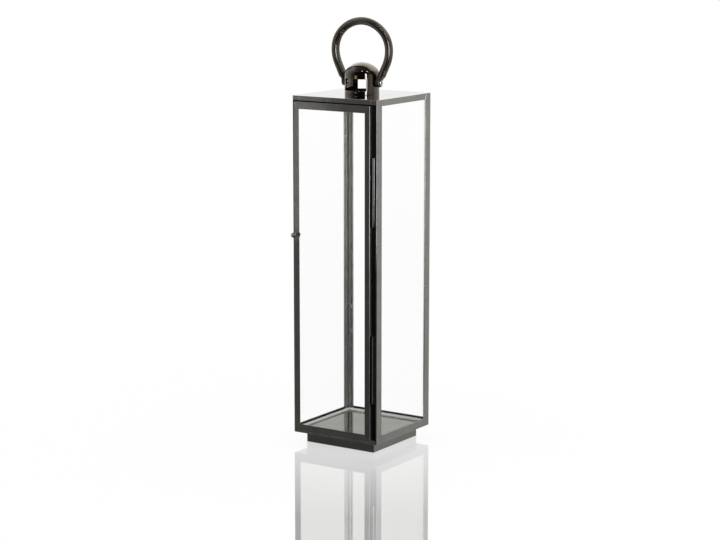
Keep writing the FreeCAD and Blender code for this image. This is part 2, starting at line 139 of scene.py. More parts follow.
def ranged(tree: Tree, value: Source, reach: Range, result: Range = (0.0, 1.0), eased: bool = False) -> Node:
    """Carries a value from one range to another.

    Args:
        tree: tree that gets the node.
        value: value to carry over.
        reach: values that give the two ends.
        result: results at those ends.
        eased: whether the result slows down towards both ends.

    Returns:
        The node with the result.
    """
    ends = {"From Min": reach[0], "From Max": reach[1], "To Min": result[0], "To Max": result[1]}
    course = "SMOOTHSTEP" if eased else "LINEAR"
    return add_node(tree, "ShaderNodeMapRange", {"Value": value, **ends}, interpolation_type=course)


def blended(tree: Tree, share: Source, first: Colour | Socket, second: Colour | Socket) -> Socket:
    """Colour between two colours.

    Args:
        tree: tree that gets the node.
        share: share of the second colour.
        first: colour where the share is 0.
        second: colour where the share is 1.

    Returns:
        The socket with the colour.
    """
    ends = [end if isinstance(end, Socket) else opaque(end) for end in (first, second)]
    return add_node(tree, "ShaderNodeMix", {0: share, 6: ends[0], 7: ends[1]}, data_type="RGBA").outputs[2]


def either(tree: Tree, share: Source, first: Source, second: Source) -> Node:
    """Surface between two surfaces, with the share of the second one."""
    return add_node(tree, "ShaderNodeMixShader", {0: share, 1: first, 2: second})


def new_material(name: str, surface: Callable[[Tree], Node]) -> Material:
    """Makes a material.

    Args:
        name: name of the material.
        surface: adds the surface's nodes to a tree and returns the last one.

    Returns:
        The new material.
    """
    material = bpy.data.materials.new(name)
    material.use_nodes = True
    tree = material.node_tree
    tree.nodes.clear()
    add_node(tree, "ShaderNodeOutputMaterial", {"Surface": surface(tree)})
    return material


@dataclass(frozen=True)
class Finish:
    """Finish of a surface. Each kind of finish has its own nodes."""

    name: str

    def surface(self, tree: Tree) -> Node:
        """Adds the finish's nodes to a tree and returns the last one."""
        raise NotImplementedError

    def material(self) -> Material:
        """Makes the material, or returns it if it is already there.

        Returns:
            The material.
        """
        if self.name in bpy.data.materials:
            return bpy.data.materials[self.name]
        return new_material(self.name, self.surface)


@dataclass(frozen=True)
class PolishedMetal(Finish):
    """Plated sheet or rod: patchy tone, hazy handling marks, buffing ripples and rubbed edges."""

    deep: Colour  # tone of the darker patches
    pale: Colour  # tone of the lighter patches
    worn: Colour  # tone where an edge is rubbed
    clear: float  # roughness of clean polish
    hazy: float  # roughness where it has been handled
    grazing: float = 1.0  # how strongly it shines at a grazing angle
    patch_scale: float = 42.0
    patch_spread: Range = (0.3, 0.7)  # noise in the darker and the lighter patches
    haze_scale: float = 95.0
    haze_spread: Range = (0.35, 0.75)  # noise in clean and in handled places
    ripple_scale: float = 60.0
    ripple_height: float = 0.02 * MM

    def surface(self, tree: Tree) -> Node:
        """Adds the polish's nodes to a tree and returns the last one.

        Args:
            tree: tree that gets the nodes.

        Returns:
            The last node.
        """
        place = add_node(tree, "ShaderNodeTexCoord").outputs["Object"]
        patches = noise(tree, place, {"Scale": self.patch_scale, "Detail": 5.0, "Roughness": 0.6})
        marks = noise(tree, place, {"Scale": self.haze_scale, "Detail": 3.0, "Distortion": 0.9})
        ripples = noise(tree, place, {"Scale": self.ripple_scale, "Detail": 1.0})
        spread = ranged(tree, patches, self.patch_spread)
        tone = blended(tree, spread, self.deep, self.pale)
        edges = add_node(tree, "ShaderNodeAttribute", attribute_name=WEAR).outputs["Fac"]
        rubbing = maths(tree, "MULTIPLY", edges, spread)
        inputs = {
            "Base Color": blended(tree, rubbing, tone, self.worn),
            "Metallic": 1.0,
            "Roughness": ranged(tree, marks, self.haze_spread, (self.clear, self.hazy)),
            "Specular Tint": opaque((self.grazing, self.grazing, self.grazing)),
            "Normal": add_node(
                tree, "ShaderNodeBump", {"Strength": 1.0, "Distance": self.ripple_height, "Height": ripples}
            ),
        }
        return add_node(tree, "ShaderNodeBsdfPrincipled", inputs)


@dataclass(frozen=True)
class ClearGlass(Finish):
    """Thin clear pane, which lets lamp light through."""

    tint: Colour
    refraction: float

    def surface(self, tree: Tree) -> Node:
        """Adds the glass's nodes to a tree and returns the last one.

        Args:
            tree: tree that gets the nodes.

        Returns:
            The last node.
        """
        clear = {"Roughness": 0.0, "Transmission Weight": 1.0, "IOR": self.refraction}
        glass = add_node(tree, "ShaderNodeBsdfPrincipled", {"Base Color": opaque(self.tint), **clear})
        shadow = add_node(tree, "ShaderNodeLightPath").outputs["Is Shadow Ray"]
        return either(tree, shadow, glass, add_node(tree, "ShaderNodeBsdfTransparent"))


BLACK_NICKEL = PolishedMetal(
    "black_nickel_sheet", (0.200, 0.197, 0.182), (0.245, 0.241, 0.224), (0.34, 0.335, 0.31),
    clear=0.06, hazy=0.13,
)
# darker copy of the black nickel for the plinth and the hinge stile: painted shade
SHADED_NICKEL = PolishedMetal(
    "deep_nickel_sheet", (0.155, 0.153, 0.142), (0.190, 0.187, 0.174), (0.27, 0.265, 0.245),
    clear=0.06, hazy=0.13,
)
# paler copy of the sheet for the faces that look inwards: painted reflection
PAINTED_INSIDE_SHEEN = PolishedMetal(
    "pale_inside_polish", (0.84, 0.826, 0.772), (0.91, 0.895, 0.838), (0.91, 0.895, 0.838),
    clear=0.22, hazy=0.28,
)
# copy of the mirror polish, darker than the top plate's, for the floor plate: painted shade
SHADED_FLOOR_MIRROR = PolishedMetal(
    "mirror_floor_polish", (0.36, 0.355, 0.33), (0.42, 0.414, 0.385), (0.45, 0.445, 0.42),
    clear=0.08, hazy=0.12,
)
# paler copy of the mirror polish for the top plate's upper face: painted reflection
PAINTED_TOP_REFLECTION = PolishedMetal(
    "mirror_top_polish", (0.58, 0.577, 0.565), (0.66, 0.657, 0.645), (0.66, 0.657, 0.645),
    clear=0.02, hazy=0.05,
)
RING_NICKEL = PolishedMetal(
    "bent_rod_polish", (0.118, 0.106, 0.090), (0.156, 0.141, 0.121), (0.25, 0.225, 0.195),
    clear=0.26, hazy=0.32, grazing=0.35, ripple_height=0.0,
)
CAP_NICKEL = PolishedMetal(
    "spun_cap_polish", (0.085, 0.074, 0.062), (0.120, 0.106, 0.089), (0.30, 0.27, 0.235),
    clear=0.03, hazy=0.06, ripple_height=0.003 * MM,
)
RIVET_STEEL = PolishedMetal(
    "rivet_polish", (0.46, 0.45, 0.43), (0.58, 0.57, 0.55), (0.60, 0.59, 0.57),
    clear=0.06, hazy=0.12, ripple_height=0.003 * MM,
)
HINGE_STEEL = PolishedMetal(
    "hinge_steel", (0.15, 0.147, 0.146), (0.20, 0.196, 0.195), (0.32, 0.315, 0.31),
    clear=0.08, hazy=0.14, patch_scale=90.0, ripple_height=0.0015 * MM,
)
# pale finish for the floor plate's hem: painted reflection
PAINTED_HEM_SHEEN = PolishedMetal(
    "bright_hem", (0.62, 0.616, 0.597), (0.74, 0.735, 0.715), (0.74, 0.735, 0.715),
    clear=0.18, hazy=0.26, patch_scale=28.0,
)
# pale rough finish for the door's hinge edge: painted highlight
PAINTED_EDGE_HIGHLIGHT = PolishedMetal(
    "satin_steel", (0.54, 0.50, 0.47), (0.65, 0.60, 0.565), (0.68, 0.63, 0.59),
    clear=0.42, hazy=0.55, patch_scale=160.0,
)
# near-black finish for the faces in the hinge and latch recesses: painted shade
PAINTED_RECESS_SHADE = PolishedMetal(
    "blackened_stop", (0.010, 0.010, 0.009), (0.018, 0.018, 0.016), (0.03, 0.03, 0.028),
    clear=0.30, hazy=0.42, grazing=0.3,
)
# dark opaque finish for the edge faces of the panes: painted shade
PAINTED_PANE_EDGE_SHADE = PolishedMetal(
    "ground_glass_edge", (0.12, 0.13, 0.125), (0.16, 0.17, 0.165), (0.18, 0.19, 0.185),
    clear=0.55, hazy=0.65, grazing=0.3,
)
PANE_GLASS = ClearGlass("clear_pane_glass", (0.997, 0.999, 0.998), refraction=1.15)


@dataclass
class Piece:
    """A finished piece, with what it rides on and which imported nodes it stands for."""

    shape: Shape
    body: Body
    slot: Slot
    nodes: tuple[str, ...]

    def hand_over(self) -> None:
        """Ties the piece to its body and the nodes that it replaces."""
        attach(self.shape, self.body.value)
        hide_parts(*self.nodes)
        log.info("%s: %d faces on %s", self.shape.name, len(self.shape.data.polygons), self.body.value)


def linked(name: str, mesh: Mesh, finish: Finish | None = None) -> Shape:
    """Puts a mesh in the scene as an object at the origin.

    Args:
        name: name of the object.
        mesh: its mesh.
        finish: finish of its only material slot, if it has one.

    Returns:
        The new object.
    """
    shape = bpy.data.objects.new(name, mesh)
    bpy.context.scene.collection.objects.link(shape)
    if finish is not None:
        mesh.materials.clear()
        mesh.materials.append(finish.material())
    return shape


def as_mesh(bm: BMesh, name: str) -> Mesh:
    """Closes a bmesh.

    Args:
        bm: bmesh that isn't needed any more.
        name: name of the mesh.

    Returns:
        What it held, as a mesh.
    """
    mesh = bpy.data.meshes.new(name)
    bm.to_mesh(mesh)
    bm.free()
    return mesh


def evaluated(shape: Shape) -> Mesh:
    """The object's mesh with its modifiers applied.

    Args:
        shape: object that has the modifiers.

    Returns:
        The new mesh.
    """
    graph = bpy.context.evaluated_depsgraph_get()
    final = shape.evaluated_get(graph)
    return bpy.data.meshes.new_from_object(final, preserve_all_data_layers=True, depsgraph=graph)


def sharp_edges(bm: BMesh) -> list[Edge]:
    """Outer edges where two faces meet at a plain angle."""
    return [edge for edge in bm.edges if edge.is_convex and edge.calc_face_angle(0.0) > SHARP_ANGLE]


def round_edges(bm: BMesh, edges: list[Edge], radius: float, steps: int = EDGE_STEPS) -> None:
    """Rounds edges, shades the new faces smooth and marks them as rubbed.

    Args:
        bm: mesh that holds the edges.
        edges: edges to round.
        radius: how far the rounding reaches from the edge.
        steps: faces across the rounding.
    """
    if not edges:
        return
    wear = bm.faces.layers.float.get(WEAR) or bm.faces.layers.float.new(WEAR)
    made = bmesh.ops.bevel(
        bm,
        geom=edges,
        offset=radius,
        offset_type="OFFSET",
        segments=steps,
        profile=0.5,
        affect="EDGES",
        clamp_overlap=True,
    )
    for face in made["faces"]:
        face.smooth = True
        face[wear] = 1.0


def softened(node: str, edge_radius: float, folds: Sequence[Point] = (), fold_radius: float = 0.0) -> Mesh:
    """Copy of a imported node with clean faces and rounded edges.

    Args:
        node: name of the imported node.
        edge_radius: rounding of every sharp edge.
        folds: X and Y of upright edges where the sheet is folded.
        fold_radius: rounding of those folds.

    Returns:
        The new mesh.
    """
    bm = bmesh.new()
    bm.from_mesh(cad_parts[node].data)
    bmesh.ops.remove_doubles(bm, verts=bm.verts, dist=WELD)
    bmesh.ops.dissolve_limit(bm, angle_limit=FLAT_ANGLE, verts=bm.verts, edges=bm.edges)
    for face in bm.faces:
        face.smooth = False
        face.material_index = 0
    near = 0.05 * MM

    def on_fold(edge: Edge) -> bool:
        """True if the edge runs along one of the folds."""
        ends = [vert.co for vert in edge.verts]
        return any(all(abs(end.x - x) < near and abs(end.y - y) < near for end in ends) for x, y in folds)

    round_edges(bm, [edge for edge in sharp_edges(bm) if on_fold(edge)], fold_radius, FOLD_STEPS)
    round_edges(bm, sharp_edges(bm), edge_radius)
    return as_mesh(bm, node)


def refinished(mesh: Mesh, finish: Finish, chosen: Callable[[Face], bool]) -> None:
    """Gives some faces of a mesh a finish of their own.

    Args:
        mesh: mesh that has its main finish already.
        finish: finish of the chosen faces.
        chosen: tells whether a face is one of them.
    """
    index = len(mesh.materials)
    mesh.materials.append(finish.material())
    for face in mesh.polygons:
        if chosen(face):
            face.material_index = index


def arc(centre: Point, radius: float, first: float, last: float, steps: int) -> list[Point]:
    """Points along an arc, both ends included, with angles in radians."""
    angles = [first + (last - first) * step / steps for step in range(steps + 1)]
    return [(centre[0] + radius * math.cos(a), centre[1] + radius * math.sin(a)) for a in angles]


def dome(radius: float, height: float, level: float, share: float, steps: int) -> list[Point]:
    """Half section of a low dome, which ends at its crown on the axis.

    Args:
        radius: radius of the dome's rim.
        height: height of the crown above the rim.
        level: height of the rim.
        share: share of the way from the crown to the rim where the section starts.
        steps: spans along the section.

    Returns:
        Radius and height of each point.
    """
    ball = (radius**2 + height**2) / (2 * height)
    opening = math.asin(radius / ball)
    points = arc((0.0, level + height - ball), ball, QUARTER - opening * share, QUARTER, steps)
    return points[:-1] + [(0.0, level + height)]


def loft(bm: BMesh, ring: Sequence[Vert], other: Sequence[Vert]) -> None:
    """Joins two rings of as many points with a band of faces.

    Args:
        bm: mesh that holds the points.
        ring: points of the one ring, in order.
        other: points of the other ring, in the same order.
    """
    for step in range(len(ring)):
        after = (step + 1) % len(ring)
        bm.faces.new((ring[step], ring[after], other[after], other[step]))


def turned(name: str, profile: Sequence[Point], place: Matrix, sides: int) -> Mesh:
    """Turned form, from a half section that starts and ends on its axis.

    Args:
        name: name of the mesh.
        profile: radius and height of each point, from one end to the other.
        place: carries the form from its own Z axis to its place.
        sides: faces round the axis.

    Returns:
        The new mesh.
    """
    bm = bmesh.new()
    rings: list[list[Vert]] = []
    for radius, height in profile:
        count = sides if radius > 0 else 1
        angles = [2 * math.pi * step / count for step in range(count)]
        points = [Vector((radius * math.cos(a), radius * math.sin(a), height)) for a in angles]
        rings.append([bm.verts.new(place @ point) for point in points])
    for low, high in zip(rings, rings[1:]):
        for step in range(sides):
            after = (step + 1) % sides
            spots = ((low, step), (low, after), (high, after), (high, step))
            corners = [ring[index % len(ring)] for ring, index in spots]
            bm.faces.new(list(dict.fromkeys(corners)))
    bmesh.ops.recalc_face_normals(bm, faces=bm.faces)
    return as_mesh(bm, name)


def extruded(name: str, outline: Sequence[Point], height: float, edge_radius: float) -> Mesh:
    """Upright prism round the origin's level, with rounded edges.

    Args:
        name: name of the mesh.
        outline: corners in X and Y, in order.
        height: full height, half of it above the origin.
        edge_radius: rounding of its edges.

    Returns:
        The new mesh.
    """
    bm = bmesh.new()
    low, high = [[bm.verts.new((x, y, level)) for x, y in outline] for level in (-height / 2, height / 2)]
    bm.faces.new(low)
    bm.faces.new(high)
    loft(bm, low, high)
    bmesh.ops.recalc_face_normals(bm, faces=bm.faces)
    round_edges(bm, sharp_edges(bm), edge_radius)
    return as_mesh(bm, name)


def shade_smooth(mesh: Mesh, sharp_angle: float = SHARP_ANGLE) -> Mesh:
    """Shades a mesh smooth, apart from its sharp edges.

    Args:
        mesh: mesh to shade.
        sharp_angle: angle between two faces over which their edge stays sharp.

    Returns:
        The same mesh.
    """
    mesh.shade_smooth()
    mesh.set_sharp_from_angle(angle=sharp_angle)
    return mesh


def new_tree(name: str, inputs: dict[str, str]) -> tuple[Tree, Node]:
    """Starts a Geometry Nodes tree.

    Args:
        name: name of the tree.
        inputs: kind of each input after the geometry, by name.

    Returns:
        The tree and its input node.
    """
    tree = bpy.data.node_groups.new(name, "GeometryNodeTree")
    for label, kind in {"Geometry": "Geometry", **inputs}.items():
        tree.interface.new_socket(name=label, in_out="INPUT", socket_type=f"NodeSocket{kind}")
    tree.interface.new_socket(name="Geometry", in_out="OUTPUT", socket_type="NodeSocketGeometry")
    return tree, tree.nodes.new("NodeGroupInput")


def close_tree(tree: Tree, shape: Node, finish: Socket) -> None:
    """Ends a tree in real geometry with its finish set.

    Args:
        tree: the tree.
        shape: node that gives the geometry.
        finish: the tree's input for the finish.
    """
    real = add_node(tree, "GeometryNodeRealizeInstances", {"Geometry": shape})
    dressed = add_node(tree, "GeometryNodeSetMaterial", {"Geometry": real, "Material": finish})
    add_node(tree, "NodeGroupOutput", {"Geometry": dressed})


def grown(name: str, base: Mesh, tree: Tree, values: dict[str, object]) -> Shape:
    """Runs a Geometry Nodes tree on a mesh and keeps the result as a plain mesh.

    Args:
        name: name of the new object.
        base: mesh that goes into the tree.
        tree: the tree.
        values: the tree's inputs by name.

    Returns:
        The object, with its faces turned outwards and no modifier left on it.
    """
    shape = linked(name, base)
    modifier = shape.modifiers.new(tree.name, "NODES")
    modifier.node_group = tree
    for item in tree.interface.items_tree:
        if item.in_out == "INPUT" and item.name in values:
            modifier[item.identifier] = values[item.name]
    shape.update_tag()
    mesh = evaluated(shape)
    shape.modifiers.clear()
    bm = bmesh.new()
    bm.from_mesh(mesh)
    bmesh.ops.recalc_face_normals(bm, faces=bm.faces)
    bm.to_mesh(mesh)
    bm.free()
    shape.data = shade_smooth(mesh)
    return shape


def copies_tree() -> Tree:
    """Tree that sets a copy of an object on every vertex, turned by the vertex's own angles.

    Returns:
        The tree.
    """
    name = "placed_copies"
    if name in bpy.data.node_groups:
        return bpy.data.node_groups[name]
    tree, start = new_tree(name, {"Copy": "Object", "Finish": "Material"})
    given = start.outputs
    pattern = add_node(tree, "GeometryNodeObjectInfo", {"Object": given["Copy"]})
    angles = add_node(tree, "GeometryNodeInputNamedAttribute", {"Name": TURN}, data_type="FLOAT_VECTOR")
    rotation = add_node(tree, "FunctionNodeEulerToRotation", {"Euler": angles})
    source = {"Points": given["Geometry"], "Instance": pattern.outputs["Geometry"], "Rotation": rotation}
    close_tree(tree, add_node(tree, "GeometryNodeInstanceOnPoints", source), given["Finish"])
    return tree


def placed_copies(name: str, pattern: Mesh, places: Sequence[Place], finish: Finish) -> Shape:
    """One object made of turned copies of a mesh.

    Args:
        name: name of the object.
        pattern: mesh of one copy, round the origin.
        places: where the copies go.
        finish: finish of all copies.

    Returns:
        The new object.
    """
    points = bpy.data.meshes.new(name)
    points.from_pydata([place for place, _ in places], [], [])
    turns = points.attributes.new(TURN, "FLOAT_VECTOR", "POINT")
    for step, (_, angles) in enumerate(places):
        turns.data[step].vector = angles
    copy = linked(f"{name}_pattern", pattern)
    shape = grown(name, points, copies_tree(), {"Copy": copy, "Finish": finish.material()})
    bpy.data.objects.remove(copy)
    return shape


@dataclass
class SheetBody:
    """Folded frame of the lantern: plinth, floor, posts, rails, stops, fascia, sill and top plate."""

    corner: float = 75.0 * MM  # distance of the upright folds from the lantern's middle planes
    plinth_corner: float = 61.1 * MM
    fold_radius: float = 0.9 * MM
    edge_radius: float = 0.2 * MM
    behind_door: float = -70.5 * MM  # Y where the painted recess shade starts on the fascia and sill
    hem_rise: float = 2.9 * MM  # height of the floor's turned-up hem
    hem_width: float = 2.6 * MM
    hem_top: float = 0.5 * MM  # flat top of the hem
    hem_foot: float = 0.1 * MM  # height over the floor where the hem's painted reflection starts

    def sheet(self, node: str, finish: Finish = BLACK_NICKEL) -> Piece:
        """One folded sheet.

        Args:
            node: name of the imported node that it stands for.
            finish: finish of the sheet.

        Returns:
            The finished piece.
        """
        reach = self.plinth_corner if node == "plinth" else self.corner
        folds = [(x, y) for x in (-reach, reach) for y in (-reach, reach)]
        mesh = softened(node, self.edge_radius, folds, self.fold_radius)
        return Piece(linked(f"folded_{node}", mesh, finish), Body.LANTERN, Slot.BLACK_NICKEL, (node,))

    def two_tone(self, node: str, finish: Finish, chosen: Callable[[Face], bool]) -> Piece:
        """One folded sheet, some of whose faces have a finish of their own.

        Args:
            node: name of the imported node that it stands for.
            finish: finish of the chosen faces.
            chosen: tells whether a face is one of them.

        Returns:
            The finished piece.
        """
        piece = self.sheet(node)
        refinished(piece.shape.data, finish, chosen)
        return piece

    @staticmethod
    def faces_in(face: Face) -> bool:
        """True if an upright face looks towards the middle of the lantern."""
        outwards = [face.normal[axis] * math.copysign(1.0, face.center[axis]) for axis in (0, 1)]
        return min(outwards) < -FACING

    def floor(self) -> Piece:
        """Floor plate with a sloping hem along its edges, whose pale tone is a painted reflection.

        Returns:
            The finished piece.
        """
        piece = self.sheet("floor_plate", SHADED_FLOOR_MIRROR)
        low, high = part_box("floor_plate")
        section = ((0.0, 0.0), (0.0, self.hem_rise), (self.hem_top, self.hem_rise), (self.hem_width, 0.0))
        bm = bmesh.new()
        bm.from_mesh(piece.shape.data)
        rings = []
        for inset, rise in section:
            near, far = low + Vector((inset, inset, 0.0)), high - Vector((inset, inset, 0.0))
            corners = ((near.x, near.y), (far.x, near.y), (far.x, far.y), (near.x, far.y))
            rings.append([bm.verts.new((x, y, high.z + rise)) for x, y in corners])
        for ring, after in zip(rings, rings[1:] + rings[:1]):
            loft(bm, ring, after)
        bm.to_mesh(piece.shape.data)
        bm.free()
        # the hem's faces get the painted hem sheen
        refinished(piece.shape.data, PAINTED_HEM_SHEEN, lambda face: face.center.z > high.z + self.hem_foot)
        return piece

    def build(self) -> list[Piece]:
        """Makes all sheets of the frame.

        Returns:
            The finished pieces.
        """
        posts = [f"{end}_{side}_post" for side in ("left", "right") for end in ("front", "back")]
        # the plinth gets the darker painted-shade copy of the nickel
        pieces = [self.sheet("plinth", SHADED_NICKEL)]
        # inward faces of the posts and top rails get the painted inside sheen
        pieces += [self.two_tone(node, PAINTED_INSIDE_SHEEN, self.faces_in) for node in posts]
        for side in ("left", "right", "back"):
            pieces.append(self.two_tone(f"{side}_top_rail", PAINTED_INSIDE_SHEEN, self.faces_in))
            pieces.append(self.sheet(f"{side}_bottom_rail"))
        for node in ("front_sill", "front_fascia"):
            # faces behind the door's plane get the painted recess shade
            pieces.append(self.two_tone(node, PAINTED_RECESS_SHADE, lambda face: face.center.y > self.behind_door))
        pieces.append(self.floor())
        # only the top plate's upward faces get the painted top reflection
        pieces.append(self.two_tone("top_plate", PAINTED_TOP_REFLECTION, lambda face: face.normal.z > FACING))
        # the stops are coloured near-black for the shade in their recess: painted shade
        pieces += [self.sheet(node, PAINTED_RECESS_SHADE) for node in ("hinge_side_stop", "latch_side_stop")]
        return pieces


@dataclass
class Glazing:
    """Fixed panes of the left, right and back faces, and the bent tabs that hold them."""

    arris: float = 0.25 * MM  # ground edge of the glass
    tab_sheet: float = 0.8 * MM
    tab_width: float = 12.0 * MM
    tab_drop: float = 7.0 * MM
    tab_foot: float = 4.0 * MM
    tab_edge: float = 0.15 * MM

    def tab(self) -> Mesh:
        """Bent tab: a foot and a leg that hangs down from it, with the glass at the origin.

        Returns:
            The mesh of one tab.
        """
        sheet, drop = self.tab_sheet, self.tab_drop
        back = -sheet - self.tab_foot
        outline = [(0, 0), (0, -drop), (-sheet, -drop), (-sheet, -sheet), (back, -sheet), (back, 0)]
        return extruded("bent_tab", outline, self.tab_width, self.tab_edge)

    def tabs(self) -> Piece:
        """All six bent tabs as one piece.

        Returns:
            The finished piece.
        """
        middle = self.tab_width / 2
        places: list[Place] = []
        for side, turn in (("right", 0.0), ("left", math.pi)):
            low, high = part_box(f"{side}_pane_tabs")
            x = high.x if side == "right" else low.x
            for y in (low.y + middle, high.y - middle):
                places.append((Vector((x, y, high.z)), Vector((QUARTER, 0, turn))))
        low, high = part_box("back_pane_tabs")
        for x in (low.x + middle, high.x - middle):
            places.append((Vector((x, high.y, high.z)), Vector((QUARTER, 0, QUARTER))))
        shape = placed_copies("bent_pane_tabs", self.tab(), places, BLACK_NICKEL)
        nodes = ("left_pane_tabs", "right_pane_tabs", "back_pane_tabs")
        return Piece(shape, Body.LANTERN, Slot.BLACK_NICKEL, nodes)

    def pane(self, node: str, body: Body) -> Piece:
        """One pane with ground edges, whose edge faces are dark opaque metal: painted shade.

        Args:
            node: packed pane that it stands for.
            body: body that it moves with.

        Returns:
            The pane.
        """
        low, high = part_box(node)
        size = high - low
        thin = min(range(3), key=lambda axis: size[axis])
        mesh = softened(node, self.arris)
        shape = linked(f"clear_{node}", mesh, PANE_GLASS)
        # the pane's edge faces get the painted pane edge shade
        refinished(mesh, PAINTED_PANE_EDGE_SHADE, lambda face: abs(face.normal[thin]) < FACING)
        return Piece(shape, body, Slot.CLEAR_GLASS, (node,))

    def build(self) -> list[Piece]:
        """Makes the fixed panes and their tabs."""
        panes = [self.pane(f"{side}_pane", Body.LANTERN) for side in ("left", "right", "back")]
        return panes + [self.tabs()]


@dataclass
class Door:
    """Glazed door: mitred frame of folded sheet, its pane and the flat tabs behind the glass."""

    fold_radius: float = 0.8 * MM
    edge_radius: float = 0.18 * MM
    edge_facing: float = 0.5  # share of X in the normal of a face on the hinge edge
    tab_sheet: float = 0.8 * MM
    tab_width: float = 12.0 * MM
    tab_height: float = 7.0 * MM
    tab_edge: float = 0.15 * MM

    def member(self, node: str, finish: Finish) -> Piece:
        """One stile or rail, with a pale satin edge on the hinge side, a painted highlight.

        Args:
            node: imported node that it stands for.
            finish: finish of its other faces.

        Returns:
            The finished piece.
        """
        left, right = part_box("door_latch_stile")[0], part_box("door_hinge_stile")[1]
        edge, facing = right.x - self.fold_radius, self.edge_facing
        mesh = softened(node, self.edge_radius, [(left.x, left.y), (right.x, left.y)], self.fold_radius)
        shape = linked(f"folded_{node}", mesh, finish)
        # faces on the hinge edge get the painted edge highlight
        refinished(mesh, PAINTED_EDGE_HIGHLIGHT, lambda face: face.normal.x > facing and face.center.x > edge)
        return Piece(shape, Body.DOOR, Slot.BLACK_NICKEL, (node,))

    def tabs(self) -> Piece:
        """The four flat tabs as one piece.

        Returns:
            The finished piece.
        """
        low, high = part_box("door_pane_tabs")
        reach, sheet, rise = self.tab_width / 2, self.tab_sheet / 2, self.tab_height / 2
        outline = [(-reach, -sheet), (reach, -sheet), (reach, sheet), (-reach, sheet)]
        level = (low.y + high.y) / 2
        places = [
            (Vector((x, level, z)), Vector((0, 0, 0)))
            for z in (low.z + rise, high.z - rise)
            for x in (low.x + reach, high.x - reach)
        ]
        pattern = extruded("flat_tab", outline, self.tab_height, self.tab_edge)
        shape = placed_copies("flat_pane_tabs", pattern, places, BLACK_NICKEL)
        return Piece(shape, Body.DOOR, Slot.BLACK_NICKEL, ("door_pane_tabs",))

    def build(self) -> list[Piece]:
        """Makes the door's frame, glass and tabs.

        Returns:
            The finished pieces.
        """
        latch_stile = self.member("door_latch_stile", BLACK_NICKEL)
        # the hinge stile gets the darker painted-shade copy, unlike the latch stile
        hinge_stile = self.member("door_hinge_stile", SHADED_NICKEL)
        rails = [self.member(f"door_{end}_rail", BLACK_NICKEL) for end in ("top", "bottom")]
        return [latch_stile, hinge_stile, *rails, Glazing().pane("door_pane", Body.DOOR), self.tabs()]


